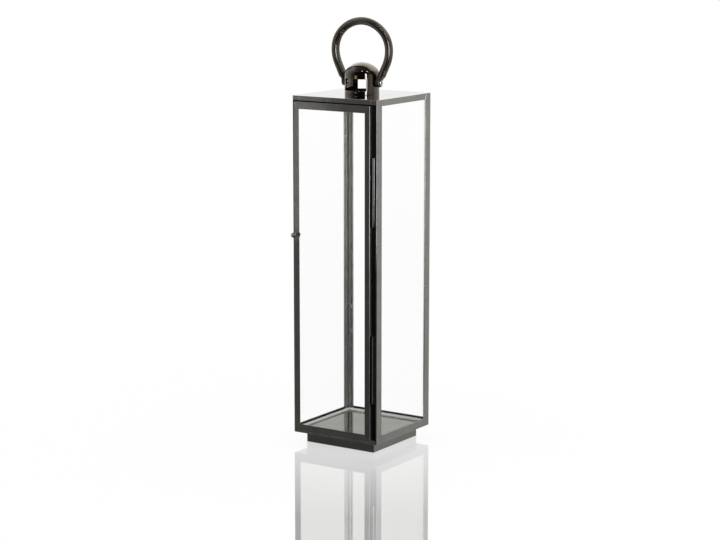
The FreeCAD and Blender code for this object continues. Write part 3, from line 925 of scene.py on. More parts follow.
@dataclass
class Hinge:
    """Long butt hinge: two leaves with rolled knuckles, and the pin through them."""

    name: str
    knuckle_length: float = 34.0 * MM
    knuckle_gap: float = 0.3 * MM
    knuckle_radius: float = 2.4 * MM
    pin_radius: float = 1.3 * MM
    running_clearance: float = 0.05 * MM
    lip: float = 0.25 * MM  # rounded mouth of a knuckle
    lip_angle: float = math.radians(12)  # keeps the lip out of the shading of the long wall
    leaf_sheet: float = 1.0 * MM
    leaf_edge: float = 0.12 * MM
    leaf_reach: float = 1.6 * MM  # how far a leaf's plate stands in front of the axis
    axis_x: float = 68.2 * MM
    axis_y: float = -72.4 * MM
    pin_dome: float = 0.5 * MM
    pin_slope: Point = (0.6, 0.2)  # shares of the pin's radius and dome at the middle of its end
    knuckle_sides: int = 40
    lip_steps: int = 3
    pin_sides: int = 24

    @staticmethod
    def knuckle_tree() -> Tree:
        """Tree that adds a row of rolled knuckles to a leaf's plate.

        Returns:
            The tree.
        """
        name = "knuckle_row"
        if name in bpy.data.node_groups:
            return bpy.data.node_groups[name]
        counts = dict.fromkeys(("Count", "Sides", "Lip Steps"), "Int")
        sizes = dict.fromkeys(("Pitch", "Radius", "Wall", "Length", "Lip"), "Float")
        tree, start = new_tree(name, {**counts, "First": "Vector", **sizes, "Finish": "Material"})
        given = start.outputs
        step = add_node(tree, "ShaderNodeCombineXYZ", {"Z": given["Pitch"]})
        course = {"Count": given["Count"], "Start Location": given["First"], "Offset": step}
        row = add_node(tree, "GeometryNodeMeshLine", course, mode="OFFSET")
        half_wall = maths(tree, "MULTIPLY", given["Wall"], 0.5)
        middle = maths(tree, "SUBTRACT", given["Radius"], half_wall)
        turn = {"Resolution": given["Sides"], "Radius": middle}
        circle = add_node(tree, "GeometryNodeCurvePrimitiveCircle", turn)
        level = add_node(tree, "GeometryNodeSetCurveNormal", {"Curve": circle}, mode="Z_UP")
        wall = {"Width": given["Wall"], "Height": given["Length"]}
        section = add_node(tree, "GeometryNodeCurvePrimitiveQuadrilateral", wall)
        rounding = {"Curve": section, "Count": given["Lip Steps"], "Radius": given["Lip"]}
        rounded = add_node(tree, "GeometryNodeFilletCurve", rounding, mode="POLY")
        tube = add_node(tree, "GeometryNodeCurveToMesh", {"Curve": level, "Profile Curve": rounded})
        knuckles = add_node(tree, "GeometryNodeInstanceOnPoints", {"Points": row, "Instance": tube})
        leaf = add_node(tree, "GeometryNodeJoinGeometry", {"Geometry": given["Geometry"]})
        tree.links.new(knuckles.outputs["Instances"], leaf.inputs["Geometry"])
        close_tree(tree, leaf, given["Finish"])
        return tree

    def leaf(self, side: str, body: Body, knuckles: Sequence[int]) -> Piece:
        """One leaf: a plate on its post or stile, and an arm and a knuckle for each of its places.

        Args:
            side: door or frame.
            body: body that the leaf rides on.
            knuckles: places of its knuckles, counted from the bottom.

        Returns:
            The finished piece.
        """
        node = f"{self.name}_hinge_{side}_leaf"
        low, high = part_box(node)
        pitch = self.knuckle_length + self.knuckle_gap
        wall = self.knuckle_radius - self.pin_radius - self.running_clearance
        at_left = side == "door"
        plate_x = (low.x, low.x + self.leaf_sheet) if at_left else (high.x - self.leaf_sheet, high.x)
        arm_end = self.axis_x + (-1 if at_left else 1) * (self.knuckle_radius - wall / 2)
        arm_x = (plate_x[1], arm_end) if at_left else (arm_end, plate_x[0])
        arm_y = (self.axis_y - self.leaf_sheet / 2, self.axis_y + self.leaf_sheet / 2)
        blocks = [(plate_x, (self.axis_y - self.leaf_reach, high.y), (low.z, high.z))]
        for knuckle in knuckles:
            bottom = low.z + knuckle * pitch
            blocks.append((arm_x, arm_y, (bottom, bottom + self.knuckle_length)))
        bm = bmesh.new()
        for block in blocks:
            middle = Vector([(near + far) / 2 for near, far in block])
            size = [far - near for near, far in block]
            matrix = Matrix.Translation(middle) @ Matrix.Diagonal((*size, 1.0))
            bmesh.ops.create_cube(bm, size=1.0, matrix=matrix)
        round_edges(bm, sharp_edges(bm), self.leaf_edge)
        first_middle = low.z + knuckles[0] * pitch + self.knuckle_length / 2
        values = {
            "Count": len(knuckles),
            "Sides": self.knuckle_sides,
            "Lip Steps": self.lip_steps,
            "First": Vector((self.axis_x, self.axis_y, first_middle)),
            "Pitch": 2 * pitch,
            "Radius": self.knuckle_radius,
            "Wall": wall,
            "Length": self.knuckle_length,
            "Lip": self.lip,
            "Finish": HINGE_STEEL.material(),
        }
        shape = grown(f"{self.name}_{side}_leaf", as_mesh(bm, node), self.knuckle_tree(), values)
        shade_smooth(shape.data, self.lip_angle)
        axis, reach = Vector((self.axis_x, self.axis_y)), self.knuckle_radius
        # the leaf's plate, away from the knuckle, gets the painted recess shade
        refinished(shape.data, PAINTED_RECESS_SHADE, lambda face: (face.center.xy - axis).length > reach)
        return Piece(shape, body, Slot.BRIGHT_STEEL, (node,))

    def pin(self) -> Piece:
        """The pin, with a low dome at each end.

        Returns:
            The finished piece.
        """
        node = f"{self.name}_hinge_pin"
        low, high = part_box(node)
        slope = (self.pin_radius * self.pin_slope[0], self.pin_dome * self.pin_slope[1])
        end = [(0.0, 0.0), slope, (self.pin_radius, self.pin_dome)]
        profile = [(radius, low.z + depth) for radius, depth in end]
        profile += [(radius, high.z - depth) for radius, depth in reversed(end)]
        mesh = turned(node, profile, Matrix.Translation((self.axis_x, self.axis_y, 0)), self.pin_sides)
        shape = linked(f"{self.name}_pin", shade_smooth(mesh), HINGE_STEEL)
        return Piece(shape, Body.LANTERN, Slot.BRIGHT_STEEL, (node,))

    def build(self) -> list[Piece]:
        """Makes both leaves and the pin."""
        return [self.leaf("door", Body.DOOR, (0, 2)), self.leaf("frame", Body.LANTERN, (1,)), self.pin()]


@dataclass
class Latch:
    """Turned knob on the latch stile, its spindle and the tongue behind the door."""

    axis_x: float = -69.3 * MM
    axis_z: float = 323.5 * MM
    face_y: float = -75.0 * MM
    gap: float = 0.3 * MM
    collar_radius: float = 2.6 * MM
    collar_length: float = 1.4 * MM
    neck_radius: float = 1.8 * MM
    neck_length: float = 3.6 * MM
    flare: float = 1.4 * MM
    flare_foot: Point = (0.5 * MM, 0.15 * MM)  # out from the neck, and past its end
    flare_rim: Point = (0.4 * MM, 0.25 * MM)  # in from the head, and short of its start
    head_radius: float = 3.9 * MM
    head_length: float = 2.6 * MM
    head_edges: Range = (0.2 * MM, 0.1 * MM)  # rounding at the head's two ends
    dome_height: float = 1.4 * MM
    spindle_radius: float = 1.25 * MM
    spindle_edge: float = 0.2 * MM
    tongue_edge: float = 0.12 * MM
    easing: float = 0.3 * MM  # rounding of turned corners
    easing_steps: int = 3
    dome_start: float = 0.97  # share of the way from the dome's crown to its rim
    dome_steps: int = 8
    knob_sides: int = 48
    spindle_sides: int = 24

    def place(self) -> Matrix:
        """Carries a turned form's Z axis to the latch's axis, pointing out of the door."""
        middle = Matrix.Translation((self.axis_x, self.face_y, self.axis_z))
        return middle @ Matrix.Rotation(QUARTER, 4, "X")

    def knob(self) -> Piece:
        """The turned knob.

        Returns:
            The finished piece.
        """
        ease, steps = self.easing, self.easing_steps
        collar = self.gap + self.collar_length
        neck = collar + self.neck_length
        head = neck + self.flare
        rim = head + self.head_length
        profile = [(0.0, self.gap), (self.collar_radius - ease, self.gap)]
        profile += arc((self.collar_radius - ease, self.gap + ease), ease, -QUARTER, 0, steps)
        profile += arc((self.collar_radius - ease, collar - ease), ease, 0, QUARTER, steps)
        profile += [(self.neck_radius + ease, collar), (self.neck_radius, collar + ease)]
        profile += [(self.neck_radius, neck - ease)]
        profile += [(self.neck_radius + self.flare_foot[0], neck + self.flare_foot[1])]
        profile += [(self.head_radius - self.flare_rim[0], head - self.flare_rim[1])]
        profile += [(self.head_radius, head + self.head_edges[0])]
        profile += [(self.head_radius, rim - self.head_edges[1])]
        profile += dome(self.head_radius, self.dome_height, rim, self.dome_start, self.dome_steps)
        mesh = turned("turned_knob", profile, self.place(), self.knob_sides)
        shape = linked("turned_knob", shade_smooth(mesh), RIVET_STEEL)
        return Piece(shape, Body.LATCH, Slot.BRIGHT_STEEL, ("latch_knob",))

    def spindle(self) -> Piece:
        """The spindle through the stile.

        Returns:
            The finished piece.
        """
        low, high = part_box("latch_spindle")
        front, back = self.face_y - low.y, self.face_y - high.y
        radius, edge = self.spindle_radius, self.spindle_edge
        profile = [(0.0, front), (radius, front), (radius, back + edge), (radius - edge, back), (0.0, back)]
        mesh = turned("knob_spindle", profile, self.place(), self.spindle_sides)
        shape = linked("knob_spindle", shade_smooth(mesh), HINGE_STEEL)
        return Piece(shape, Body.LATCH, Slot.BRIGHT_STEEL, ("latch_spindle",))

    def tongue(self) -> Piece:
        """The tongue that catches the stop."""
        shape = linked("catch_tongue", softened("latch_tongue", self.tongue_edge), HINGE_STEEL)
        return Piece(shape, Body.LATCH, Slot.BRIGHT_STEEL, ("latch_tongue",))

    def build(self) -> list[Piece]:
        """Makes the knob, the spindle and the tongue."""
        tongue = self.tongue()
        return [self.knob(), self.spindle(), tongue]


@dataclass
class ChimneyCap:
    """Spun cap with a window at its front and back, and the two rivets that carry the handle."""

    base: float = 533.5 * MM
    radius: float = 26.2 * MM
    wall: float = 1.2 * MM
    straight: float = 29.0 * MM
    crown_rise: float = 18.5 * MM
    shoulder: float = 13.0 * MM
    sill: float = 6.0 * MM
    head: float = 23.8 * MM
    over_head: float = 26.0 * MM  # level of a ring between the windows and the shoulder
    half_angle: float = math.radians(47.4)
    rim: float = 0.3 * MM
    window_rows: int = 4
    window_columns: int = 28
    side_columns: int = 26
    pivot_height: float = 552.0 * MM
    rivet_radius: float = 2.6 * MM
    rivet_head_radius: float = 4.3 * MM
    rivet_head_height: float = 2.4 * MM
    rivet_edge: float = 0.3 * MM
    rim_steps: int = 3
    shoulder_steps: int = 10
    crown_steps: int = 12
    rivet_start: float = 0.86  # share of the way from the rivet's crown to its rim
    rivet_steps: int = 9
    rivet_sides: int = 40

    def columns(self) -> list[float]:
        """Angles of the upright edges, from the front direction towards the right.

        Returns:
            The angles in radians, in order.
        """
        window, side = 2 * self.half_angle, math.pi - 2 * self.half_angle
        angles = []
        for turn in (0.0, math.pi):
            first = turn - self.half_angle
            angles += [first + window * step / self.window_columns for step in range(self.window_columns)]
            first = turn + self.half_angle
            angles += [first + side * step / self.side_columns for step in range(self.side_columns)]
        return angles

    def section(self, inset: float) -> list[Point]:
        """Radius and height of the wall's points, from the top plate to just short of the crown.

        Args:
            inset: distance in from the outer face.

        Returns:
            The points, up to the last one before the crown.
        """
        edge = self.radius - self.shoulder
        excess = edge**2 + self.crown_rise**2 - self.shoulder**2
        crown_radius = excess / (2 * (self.crown_rise - self.shoulder))
        crown_level = self.straight + self.crown_rise - crown_radius
        meet = math.atan2(self.straight - crown_level, edge)
        rows = self.window_rows
        middle = [self.sill + (self.head - self.sill) * step / rows for step in range(rows + 1)]
        points = [(self.radius - inset, level) for level in (0.0, self.sill / 2, *middle, self.over_head)]
        points += arc((edge, self.straight), self.shoulder - inset, 0.0, meet, self.shoulder_steps)
        points += arc((0.0, crown_level), crown_radius - inset, meet, QUARTER, self.crown_steps)[1:-1]
        return points

    def shell(self) -> Piece:
        """The spun shell with its two windows.

        Returns:
            The finished piece.
        """
        angles = self.columns()
        count = len(angles)
        bm = bmesh.new()
        grids: list[list[list[Vert]]] = []
        crowns = []
        for inset in (0.0, self.wall):
            rows = []
            for radius, level in self.section(inset):
                points = [(radius * math.sin(a), -radius * math.cos(a), self.base + level) for a in angles]
                rows.append([bm.verts.new(point) for point in points])
            grids.append(rows)
            crowns.append(bm.verts.new((0, 0, self.base + self.straight + self.crown_rise - inset)))
        outer, inner = grids
        levels = [level for _, level in self.section(0.0)]

        def is_open(row: int, column: int) -> bool:
            """True if the cell lies in a window."""
            in_height = self.sill - WELD <= levels[row] and levels[row + 1] <= self.head + WELD
            return in_height and column % (self.window_columns + self.side_columns) < self.window_columns

        for row in range(len(outer) - 1):
            for column in range(count):
                after = (column + 1) % count
                if is_open(row, column):
                    continue
                for low, high in ((grid[row], grid[row + 1]) for grid in grids):
                    bm.faces.new((low[column], low[after], high[after], high[column]))
        for grid, crown in zip(grids, crowns):
            for column in range(count):
                bm.faces.new((grid[-1][column], grid[-1][(column + 1) % count], crown))
        twins = {vert: twin for line, other in zip(outer, inner) for vert, twin in zip(line, other)}
        for edge in [edge for edge in bm.edges if edge.is_boundary and edge.verts[0] in twins]:
            first, last = edge.verts
            if last in twins:
                bm.faces.new((first, last, twins[last], twins[first]))
        bmesh.ops.delete(bm, geom=[vert for vert in bm.verts if not vert.link_faces], context="VERTS")
        bmesh.ops.recalc_face_normals(bm, faces=bm.faces)
        round_edges(bm, sharp_edges(bm), self.rim, self.rim_steps)
        shape = linked("spun_cap", shade_smooth(as_mesh(bm, "spun_cap")), CAP_NICKEL)
        return Piece(shape, Body.LANTERN, Slot.DARK_NICKEL, ("chimney_cap",))

    def rivets(self) -> Piece:
        """Both domed rivets as one piece.

        Returns:
            The finished piece.
        """
        low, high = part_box("right_pivot_rivet")
        length = high.x - low.x - self.rivet_head_height
        inside = self.rivet_head_height / 2
        shank, head, edge = self.rivet_radius, self.rivet_head_radius, self.rivet_edge
        profile = [(0.0, 0.0), (head - edge, 0.0), (head, edge), (head, inside), (shank, inside)]
        profile += [(shank, length), (head - edge, length), (head, length + edge)]
        profile += dome(head, self.rivet_head_height, length, self.rivet_start, self.rivet_steps)
        lying = Matrix.Translation((low.x, 0, 0)) @ Matrix.Rotation(QUARTER, 4, "Y")
        places = [(Vector((0, 0, self.pivot_height)), Vector((0, 0, turn))) for turn in (0.0, math.pi)]
        pattern = turned("domed_rivet", profile, lying, self.rivet_sides)
        shape = placed_copies("domed_rivets", pattern, places, CAP_NICKEL)
        # only the outer domes get the bright polish; the heads inside the cap keep its dark tone: painted
        # shade
        refinished(shape.data, RIVET_STEEL, lambda face: abs(face.center.x) > self.radius)
        return Piece(shape, Body.LANTERN, Slot.DARK_NICKEL, ("left_pivot_rivet", "right_pivot_rivet"))

    def build(self) -> list[Piece]:
        """Makes the cap and its rivets."""
        return [self.shell(), self.rivets()]


@dataclass
class RingHandle:
    """Oval rod bent to a ring with a flatter crown, whose ends are forged flat to eyes."""

    pivot_x: float = 30.1 * MM
    pivot_z: float = 552.0 * MM
    centre_z: float = 599.5 * MM
    ring_radius: float = 47.8 * MM
    shoulder_radius: float = 39.8 * MM
    crown_radius: float = 51.4 * MM
    rod_half_thickness: float = 5.7 * MM  # in the ring's plane
    rod_half_depth: float = 6.9 * MM  # across the ring's plane
    eye_radius: float = 7.2 * MM
    eye_half: float = 3.6 * MM  # half the eye's thickness
    eye_squareness: float = 4.5  # power of the eye's section, where 2 is an oval
    toe_start: float = 5.2 * MM  # depth below the pivot where the eye gets thinner
    toe_thinning: float = 0.32  # share of its thickness that is gone at its lowest point
    toe_angles: tuple[int, ...] = (6, 14, 22, 31, 41, 53, 66, 78, 90)  # degrees, up to the pivot's level
    bore_radius: float = 2.65 * MM
    neck_start: float = 2.5 * MM  # height above the pivot where the eye starts to turn into rod
    leaning: float = 9.0 * MM  # height above the pivot where the leg has its full lean
    forged: float = 14.0 * MM  # height above the pivot where the rod has its full section
    neck_rows: int = 14
    sides: int = 40
    weld: float = 0.05 * MM
    drill_sides: int = 32
    leg_steps: int = 6
    side_steps: int = 16
    shoulder_steps: int = 24
    crown_steps: int = 28  # from the shoulder to the top

    def leg(self) -> tuple[Vector, Vector, float]:
        """Pivot, direction and length of the right-hand leg, in X and Z.

        Returns:
            The pivot, the unit vector up the leg, and its length up to the ring's bend.
        """
        pivot = Vector((self.pivot_x, self.pivot_z))
        to_centre = Vector((0.0, self.centre_z)) - pivot
        lean = math.atan2(to_centre.y, to_centre.x) - math.asin(self.ring_radius / to_centre.length)
        length = math.sqrt(to_centre.length**2 - self.ring_radius**2)
        return pivot, Vector((math.cos(lean), math.sin(lean))), length

    @staticmethod
    def eased(value: float, first: float, last: float) -> float:
        """Smooth step from 0 to 1 between two values."""
        share = min(max((value - first) / (last - first), 0.0), 1.0)
        return share * share * (3 - 2 * share)

    def eye_ring(self, rise: float) -> list[Vector]:
        """One closed section of the right-hand eye and its neck.

        Args:
            rise: height of the section's middle above the pivot.

        Returns:
            Its points.
        """
        pivot, along, _ = self.leg()
        forging = self.eased(rise, self.neck_start, self.forged)
        tilt = (QUARTER - math.atan2(along.y, along.x)) * forging
        shift = along.x / along.y * rise * self.eased(rise, 0.0, self.leaning)
        middle = Vector((pivot.x + shift, 0.0, pivot.y + rise))
        bulge = math.sqrt(max(self.eye_radius**2 - min(rise, self.neck_start) ** 2, 0.0))
        across = bulge + (self.rod_half_depth - bulge) * forging
        toe = max(0.0, -rise - self.toe_start) / (self.eye_radius - self.toe_start)
        thick = self.eye_half * (1 - self.toe_thinning * toe**2)
        thick += (self.rod_half_thickness - thick) * forging
        power = 2.0 / (self.eye_squareness + (2.0 - self.eye_squareness) * forging)
        points = []
        for step in range(self.sides):
            angle = 2 * math.pi * step / self.sides
            u = math.copysign(abs(math.cos(angle)) ** power, math.cos(angle)) * thick
            v = math.copysign(abs(math.sin(angle)) ** power, math.sin(angle)) * across
            points.append(middle + Vector((u * math.cos(tilt), v, -u * math.sin(tilt))))
        return points

    def eye(self) -> Mesh:
        """The right-hand eye and its neck, with the bore for the rivet.

        Returns:
            The mesh of the eye.
        """
        rises = [-self.eye_radius * math.cos(math.radians(angle)) for angle in self.toe_angles]
        rises += [self.forged * row / self.neck_rows for row in range(1, self.neck_rows + 1)]
        bm = bmesh.new()
        rings = [[bm.verts.new(point) for point in self.eye_ring(rise)] for rise in rises]
        for low, high in zip(rings, rings[1:]):
            loft(bm, low, high)
        bm.faces.new(list(reversed(rings[0])))
        bm.faces.new(rings[-1])
        bmesh.ops.recalc_face_normals(bm, faces=bm.faces)
        blank = linked("eye_blank", as_mesh(bm, "eye_blank"))
        reach = 3 * self.eye_half
        profile = [(0.0, -reach), (self.bore_radius, -reach), (self.bore_radius, reach), (0.0, reach)]
        place = Matrix.Translation((self.pivot_x, 0, self.pivot_z)) @ Matrix.Rotation(QUARTER, 4, "Y")
        drill = linked("eye_drill", turned("eye_drill", profile, place, self.drill_sides))
        boring = blank.modifiers.new("bore", "BOOLEAN")
        boring.operation, boring.object, boring.solver = "DIFFERENCE", drill, "EXACT"
        mesh = evaluated(blank)
        bpy.data.objects.remove(blank)
        bpy.data.objects.remove(drill)
        return mesh

    def both_eyes(self) -> Mesh:
        """Both eyes in one mesh, without the end faces that the rod covers.

        Returns:
            The mesh of both.
        """
        bm = bmesh.new()
        right = self.eye()
        bm.from_mesh(right)
        mirrored = right.copy()
        mirrored.transform(Matrix.Scale(-1, 4, (1, 0, 0)))
        mirrored.flip_normals()
        bm.from_mesh(mirrored)
        level, near = self.pivot_z + self.forged, 0.1 * MM
        ends = [face for face in bm.faces if len(face.verts) == self.sides]
        ends = [face for face in ends if abs(face.calc_center_median().z - level) < near]
        bmesh.ops.delete(bm, geom=ends, context="FACES_ONLY")
        return as_mesh(bm, "forged_eyes")

    def path(self) -> Mesh:
        """The rod's middle line from one eye's neck to the other's.

        Returns:
            A mesh of edges alone.
        """
        pivot, along, length = self.leg()
        start = pivot + along * (self.forged / along.y)
        bend = pivot + along * length
        first = math.atan2(bend.y - self.centre_z, bend.x)
        offset = self.ring_radius - self.shoulder_radius
        meet = math.acos(offset / (self.crown_radius - self.shoulder_radius))
        crown_z = self.centre_z - offset * math.tan(meet)
        side = [tuple(start + (bend - start) * step / self.leg_steps) for step in range(self.leg_steps)]
        side += arc((0.0, self.centre_z), self.ring_radius, first, 0.0, self.side_steps)
        side += arc((offset, self.centre_z), self.shoulder_radius, 0.0, meet, self.shoulder_steps)[1:]
        side += arc((0.0, crown_z), self.crown_radius, meet, QUARTER, self.crown_steps)[1:]
        line = side + [(-x, z) for x, z in reversed(side[:-1])]
        spans = [(step, step + 1) for step in range(len(line) - 1)]
        mesh = bpy.data.meshes.new("rod_path")
        mesh.from_pydata([(x, 0.0, z) for x, z in line], spans, [])
        return mesh

    @staticmethod
    def rod_tree() -> Tree:
        """Tree that runs an oval rod along a path and welds it to the eyes.

        Returns:
            The tree.
        """
        sizes = {"Rod Section": "Vector", "Sides": "Int", "Weld": "Float"}
        tree, start = new_tree("bent_rod", {**sizes, "Eyes": "Object", "Finish": "Material"})
        given = start.outputs
        line = add_node(tree, "GeometryNodeMeshToCurve", {"Mesh": given["Geometry"]})
        turn = {"Radius": 1.0, "Resolution": given["Sides"]}
        circle = add_node(tree, "GeometryNodeCurvePrimitiveCircle", turn)
        oval = add_node(tree, "GeometryNodeTransform", {"Geometry": circle, "Scale": given["Rod Section"]})
        rod = add_node(tree, "GeometryNodeCurveToMesh", {"Curve": line, "Profile Curve": oval})
        eyes = add_node(tree, "GeometryNodeObjectInfo", {"Object": given["Eyes"]})
        both = add_node(tree, "GeometryNodeJoinGeometry", {"Geometry": rod})
        tree.links.new(eyes.outputs["Geometry"], both.inputs["Geometry"])
        welded = add_node(tree, "GeometryNodeMergeByDistance", {"Geometry": both, "Distance": given["Weld"]})
        close_tree(tree, welded, given["Finish"])
        return tree

    def build(self) -> list[Piece]:
        """Makes the handle as one welded piece.

        Returns:
            The finished piece, as a list of one.
        """
        eyes = linked("forged_eyes", self.both_eyes())
        values = {
            "Rod Section": Vector((self.rod_half_depth, self.rod_half_thickness, 1.0)),
            "Sides": self.sides,
            "Eyes": eyes,
            "Weld": self.weld,
            "Finish": RING_NICKEL.material(),
        }
        shape = grown("bent_ring_handle", self.path(), self.rod_tree(), values)
        bpy.data.objects.remove(eyes)
        return [Piece(shape, Body.HANDLE, Slot.DARK_NICKEL, ("ring_handle",))]


def direction(azimuth: float, elevation: float) -> Vector:
    """Unit vector towards a place round the lantern, from angles in degrees."""
    turn, rise = math.radians(azimuth), math.radians(elevation)
    return Vector((math.sin(turn) * math.cos(rise), -math.cos(turn) * math.cos(rise), math.sin(rise)))


@dataclass(frozen=True)
class Softbox:
    """Area lamp that faces the lantern."""

    name: str
    azimuth: float  # degrees from the front, towards the right
    elevation: float  # degrees above the horizon
    distance: float
    width: float
    height: float
    brightness: float  # 1 is the white of the background
    colour: Colour = (1.0, 1.0, 1.0)
    mirrored: bool = True  # whether polished metal shows the lamp

    def light(self, target: Vector) -> None:
        """Hangs the lamp.

        Args:
            target: point that it faces.
        """
        data = bpy.data.lights.new(self.name, "AREA")
        data.shape, data.size, data.size_y = "RECTANGLE", self.width, self.height
        data.energy = self.brightness * math.pi * self.width * self.height
        data.color = self.colour
        lamp = bpy.data.objects.new(self.name, data)
        lamp.visible_camera = False
        lamp.visible_glossy = self.mirrored
        lamp.visible_transmission = False
        bpy.context.scene.collection.objects.link(lamp)
        away = direction(self.azimuth, self.elevation)
        lamp.location = target + away * self.distance
        lamp.rotation_euler = away.to_track_quat("Z", "Y").to_euler()


@dataclass
class Studio:
    """White sweep, glossy pale floor, soft lamps and the camera of the photograph."""

    azimuth: float = 33.384
    elevation: float = 10.220
    distance: float = 3.1396
    aim: tuple[float, float, float] = (-0.002555, -0.001684, 0.264722)
    sensor_width: float = 36.0
    lens: float = 102.937
    far_clip: float = 50.0
    lamp_target: tuple[float, float, float] = (0.0, 0.0, 0.45)
    floor_radius: float = 1.6
    floor_sides: int = 96
    floor_paint: Colour = (0.9, 0.9, 0.9)
    floor_glow: Range = (0.88, 1.0)  # share of plain white at the lantern and away from it
    glow_reach: Range = (0.15, 0.9)  # distances where those two shares hold
    floor_gloss: Range = (0.28, 0.64)  # share of mirror at the lantern and away from it
    gloss_reach: Range = (0.10, 0.42)  # distances where those two shares hold
    dark_room: Colour = (0.030, 0.028, 0.026)
    white: Colour = (1.0, 1.0, 1.0)
    sweep: Range = (-0.70, 0.40)  # where the room's dark front turns to the white sweep
    low_shade: Range = (-0.30, -0.08)  # where the sweep gets darker towards the floor
    low_light: float = 0.70  # what is left of it there
    ceiling: Range = (0.80, 0.94)  # where the sweep gets darker overhead
    ceiling_light: float = 0.25  # what is left of it there
    beyond_glass: Colour = (0.62, 0.62, 0.60)  # what a mirror shows through a pane
    below_glass: Colour = (0.07, 0.07, 0.068)  # and what it shows lower down
    glass_shade: Range = (-0.18, -0.11)  # where the one turns into the other

    def camera(self) -> None:
        """Sets up the camera at the photograph's viewing angle."""
        data = bpy.data.cameras.new("photo_camera")
        data.sensor_fit, data.sensor_width, data.lens = "HORIZONTAL", self.sensor_width, self.lens
        data.clip_end = self.far_clip
        camera = bpy.data.objects.new("photo_camera", data)
        bpy.context.scene.collection.objects.link(camera)
        away = direction(self.azimuth, self.elevation)
        camera.location = Vector(self.aim) + away * self.distance
        camera.rotation_euler = away.to_track_quat("Z", "Y").to_euler()
        bpy.context.scene.camera = camera

    @staticmethod
    def seen_directly(tree: Tree) -> Node:
        """Node that is 1 for rays from the camera, straight, through glass or off the floor's mirror.

        Args:
            tree: tree that gets the nodes.

        Returns:
            The node.
        """
        path = add_node(tree, "ShaderNodeLightPath").outputs
        straight = maths(tree, "MAXIMUM", path["Is Camera Ray"], path["Is Transmission Ray"])
        return maths(tree, "MAXIMUM", straight, path["Is Singular Ray"])

    @staticmethod
    def mirrored_through(tree: Tree) -> Node:
        """Node that is 1 for rays that pass through glass after a mirror.

        Args:
            tree: tree that gets the nodes.

        Returns:
            The node.
        """
        path = add_node(tree, "ShaderNodeLightPath").outputs
        mirrored = maths(tree, "MINIMUM", path["Glossy Depth"], 1.0)
        return maths(tree, "MULTIPLY", mirrored, path["Is Transmission Ray"])

    def world(self) -> None:
        """White sweep behind the lantern that falls off to a dim room in front of it."""
        world = bpy.data.worlds.new("studio_room")
        bpy.context.scene.world = world
        world.use_nodes = True
        tree = world.node_tree
        tree.nodes.clear()
        way = add_node(tree, "ShaderNodeTexCoord").outputs["Generated"]
        level = add_node(tree, "ShaderNodeSeparateXYZ", {0: way}).outputs["Z"]
        ahead = {0: way, 1: -direction(self.azimuth, 0.0)}
        backwards = add_node(tree, "ShaderNodeVectorMath", ahead, operation="DOT_PRODUCT").outputs["Value"]
        sweep = ranged(tree, backwards, self.sweep, eased=True)
        shade = ranged(tree, level, self.low_shade, (self.low_light, 1.0), eased=True)
        overhead = ranged(tree, level, self.ceiling, (1.0, self.ceiling_light), eased=True)
        light = maths(tree, "MULTIPLY", sweep, maths(tree, "MULTIPLY", shade, overhead))
        room = blended(tree, light, self.dark_room, self.white)
        shown = blended(tree, self.seen_directly(tree), room, self.white)
        rising = ranged(tree, level, self.glass_shade, eased=True)
        beyond = blended(tree, rising, self.below_glass, self.beyond_glass)
        dimmed = blended(tree, self.mirrored_through(tree), shown, beyond)
        background = add_node(tree, "ShaderNodeBackground", {"Color": dimmed, "Strength": 1.0})
        add_node(tree, "ShaderNodeOutputWorld", {"Surface": background})

    def board(self, tree: Tree) -> Node:
        """Adds the nodes of a glossy white board, which keeps the shadow near the lantern.

        Args:
            tree: tree of the board's material.

        Returns:
            The last node.
        """
        place = add_node(tree, "ShaderNodeTexCoord").outputs["Object"]
        far = add_node(tree, "ShaderNodeVectorMath", {0: place}, operation="LENGTH").outputs["Value"]
        fade = ranged(tree, far, self.glow_reach, self.floor_glow, eased=True)
        share = maths(tree, "MULTIPLY", fade, self.seen_directly(tree))
        paint = add_node(tree, "ShaderNodeBsdfDiffuse", {"Color": opaque(self.floor_paint)})
        glow = add_node(tree, "ShaderNodeEmission", {"Color": opaque(self.white), "Strength": 1.0})
        gloss = add_node(tree, "ShaderNodeBsdfGlossy", {"Color": opaque(self.white), "Roughness": 0.0})
        mirror = ranged(tree, far, self.gloss_reach, self.floor_gloss)
        shown = either(tree, mirror, either(tree, share, paint, glow), gloss)
        inside = add_node(tree, "ShaderNodeEmission", {"Color": opaque(self.below_glass), "Strength": 1.0})
        return either(tree, self.mirrored_through(tree), shown, inside)

    def floor(self) -> None:
        """Round board that the lantern stands on."""
        bm = bmesh.new()
        bmesh.ops.create_circle(bm, cap_ends=True, segments=self.floor_sides, radius=self.floor_radius)
        floor = linked("floor_board", as_mesh(bm, "floor_board"))
        floor.data.materials.append(new_material("white_board", self.board))
        floor.visible_glossy = False

    def lamps(self) -> None:
        """Soft lamps, and the narrow ones that draw the highlights on the round pieces."""
        for lamp in (
            Softbox("overhead_softbox", -20.0, 78.0, 2.2, 1.2, 1.2, 2.0, mirrored=False),
            Softbox("rear_softbox", 195.0, 46.0, 2.0, 3.2, 1.6, 1.1, (0.95, 1.0, 0.86)),
            Softbox("right_strip", 59.4, 8.0, 1.8, 0.32, 1.2, 13.0, (0.82, 0.92, 1.0)),
            Softbox("right_fill", 88.0, 2.0, 1.8, 1.0, 1.0, 0.45, (1.0, 0.95, 0.88)),
            Softbox("warm_fill", -9.0, -4.0, 1.8, 0.55, 0.50, 1.7, (1.0, 0.80, 0.64)),
            Softbox("left_glow", -35.2, -7.5, 1.9, 0.12, 0.34, 0.38),
            Softbox("front_spot", 33.0, 62.0, 1.9, 0.14, 0.14, 24.0),
            Softbox("right_spot", 78.0, 50.0, 1.9, 0.14, 0.14, 24.0),
        ):
            lamp.light(Vector(self.lamp_target))

    def build(self) -> None:
        """Sets up the camera, the floor, the world and the lamps."""
        bpy.context.scene.view_settings.view_transform = "Standard"
        self.camera()
        self.floor()
        self.world()
        self.lamps()


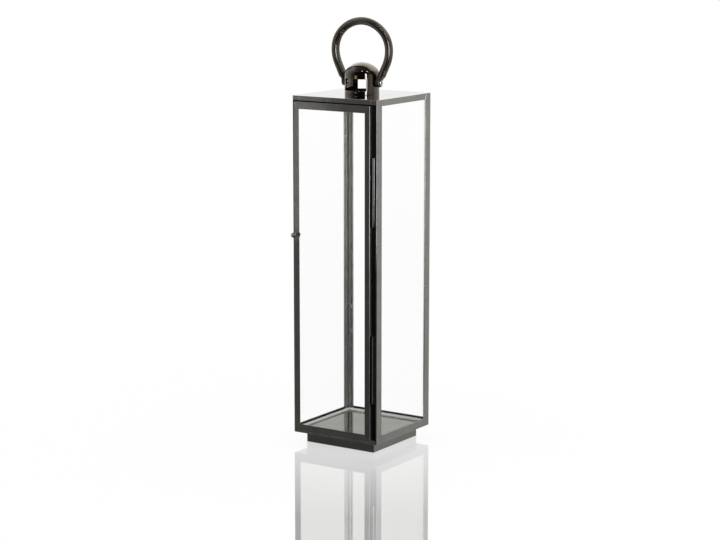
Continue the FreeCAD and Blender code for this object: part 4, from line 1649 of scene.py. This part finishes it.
def main() -> None:
    """Builds the lantern's sub-assemblies in order, then the studio round it."""
    logging.basicConfig(level=logging.INFO, format="%(name)s: %(message)s")
    hinges = [Hinge("lower"), Hinge("upper")]
    for assembly in [SheetBody(), Glazing(), Door(), *hinges, Latch(), ChimneyCap(), RingHandle()]:
        for piece in assembly.build():
            piece.hand_over()
    Studio().build()


if __name__ == "__main__":
    main()
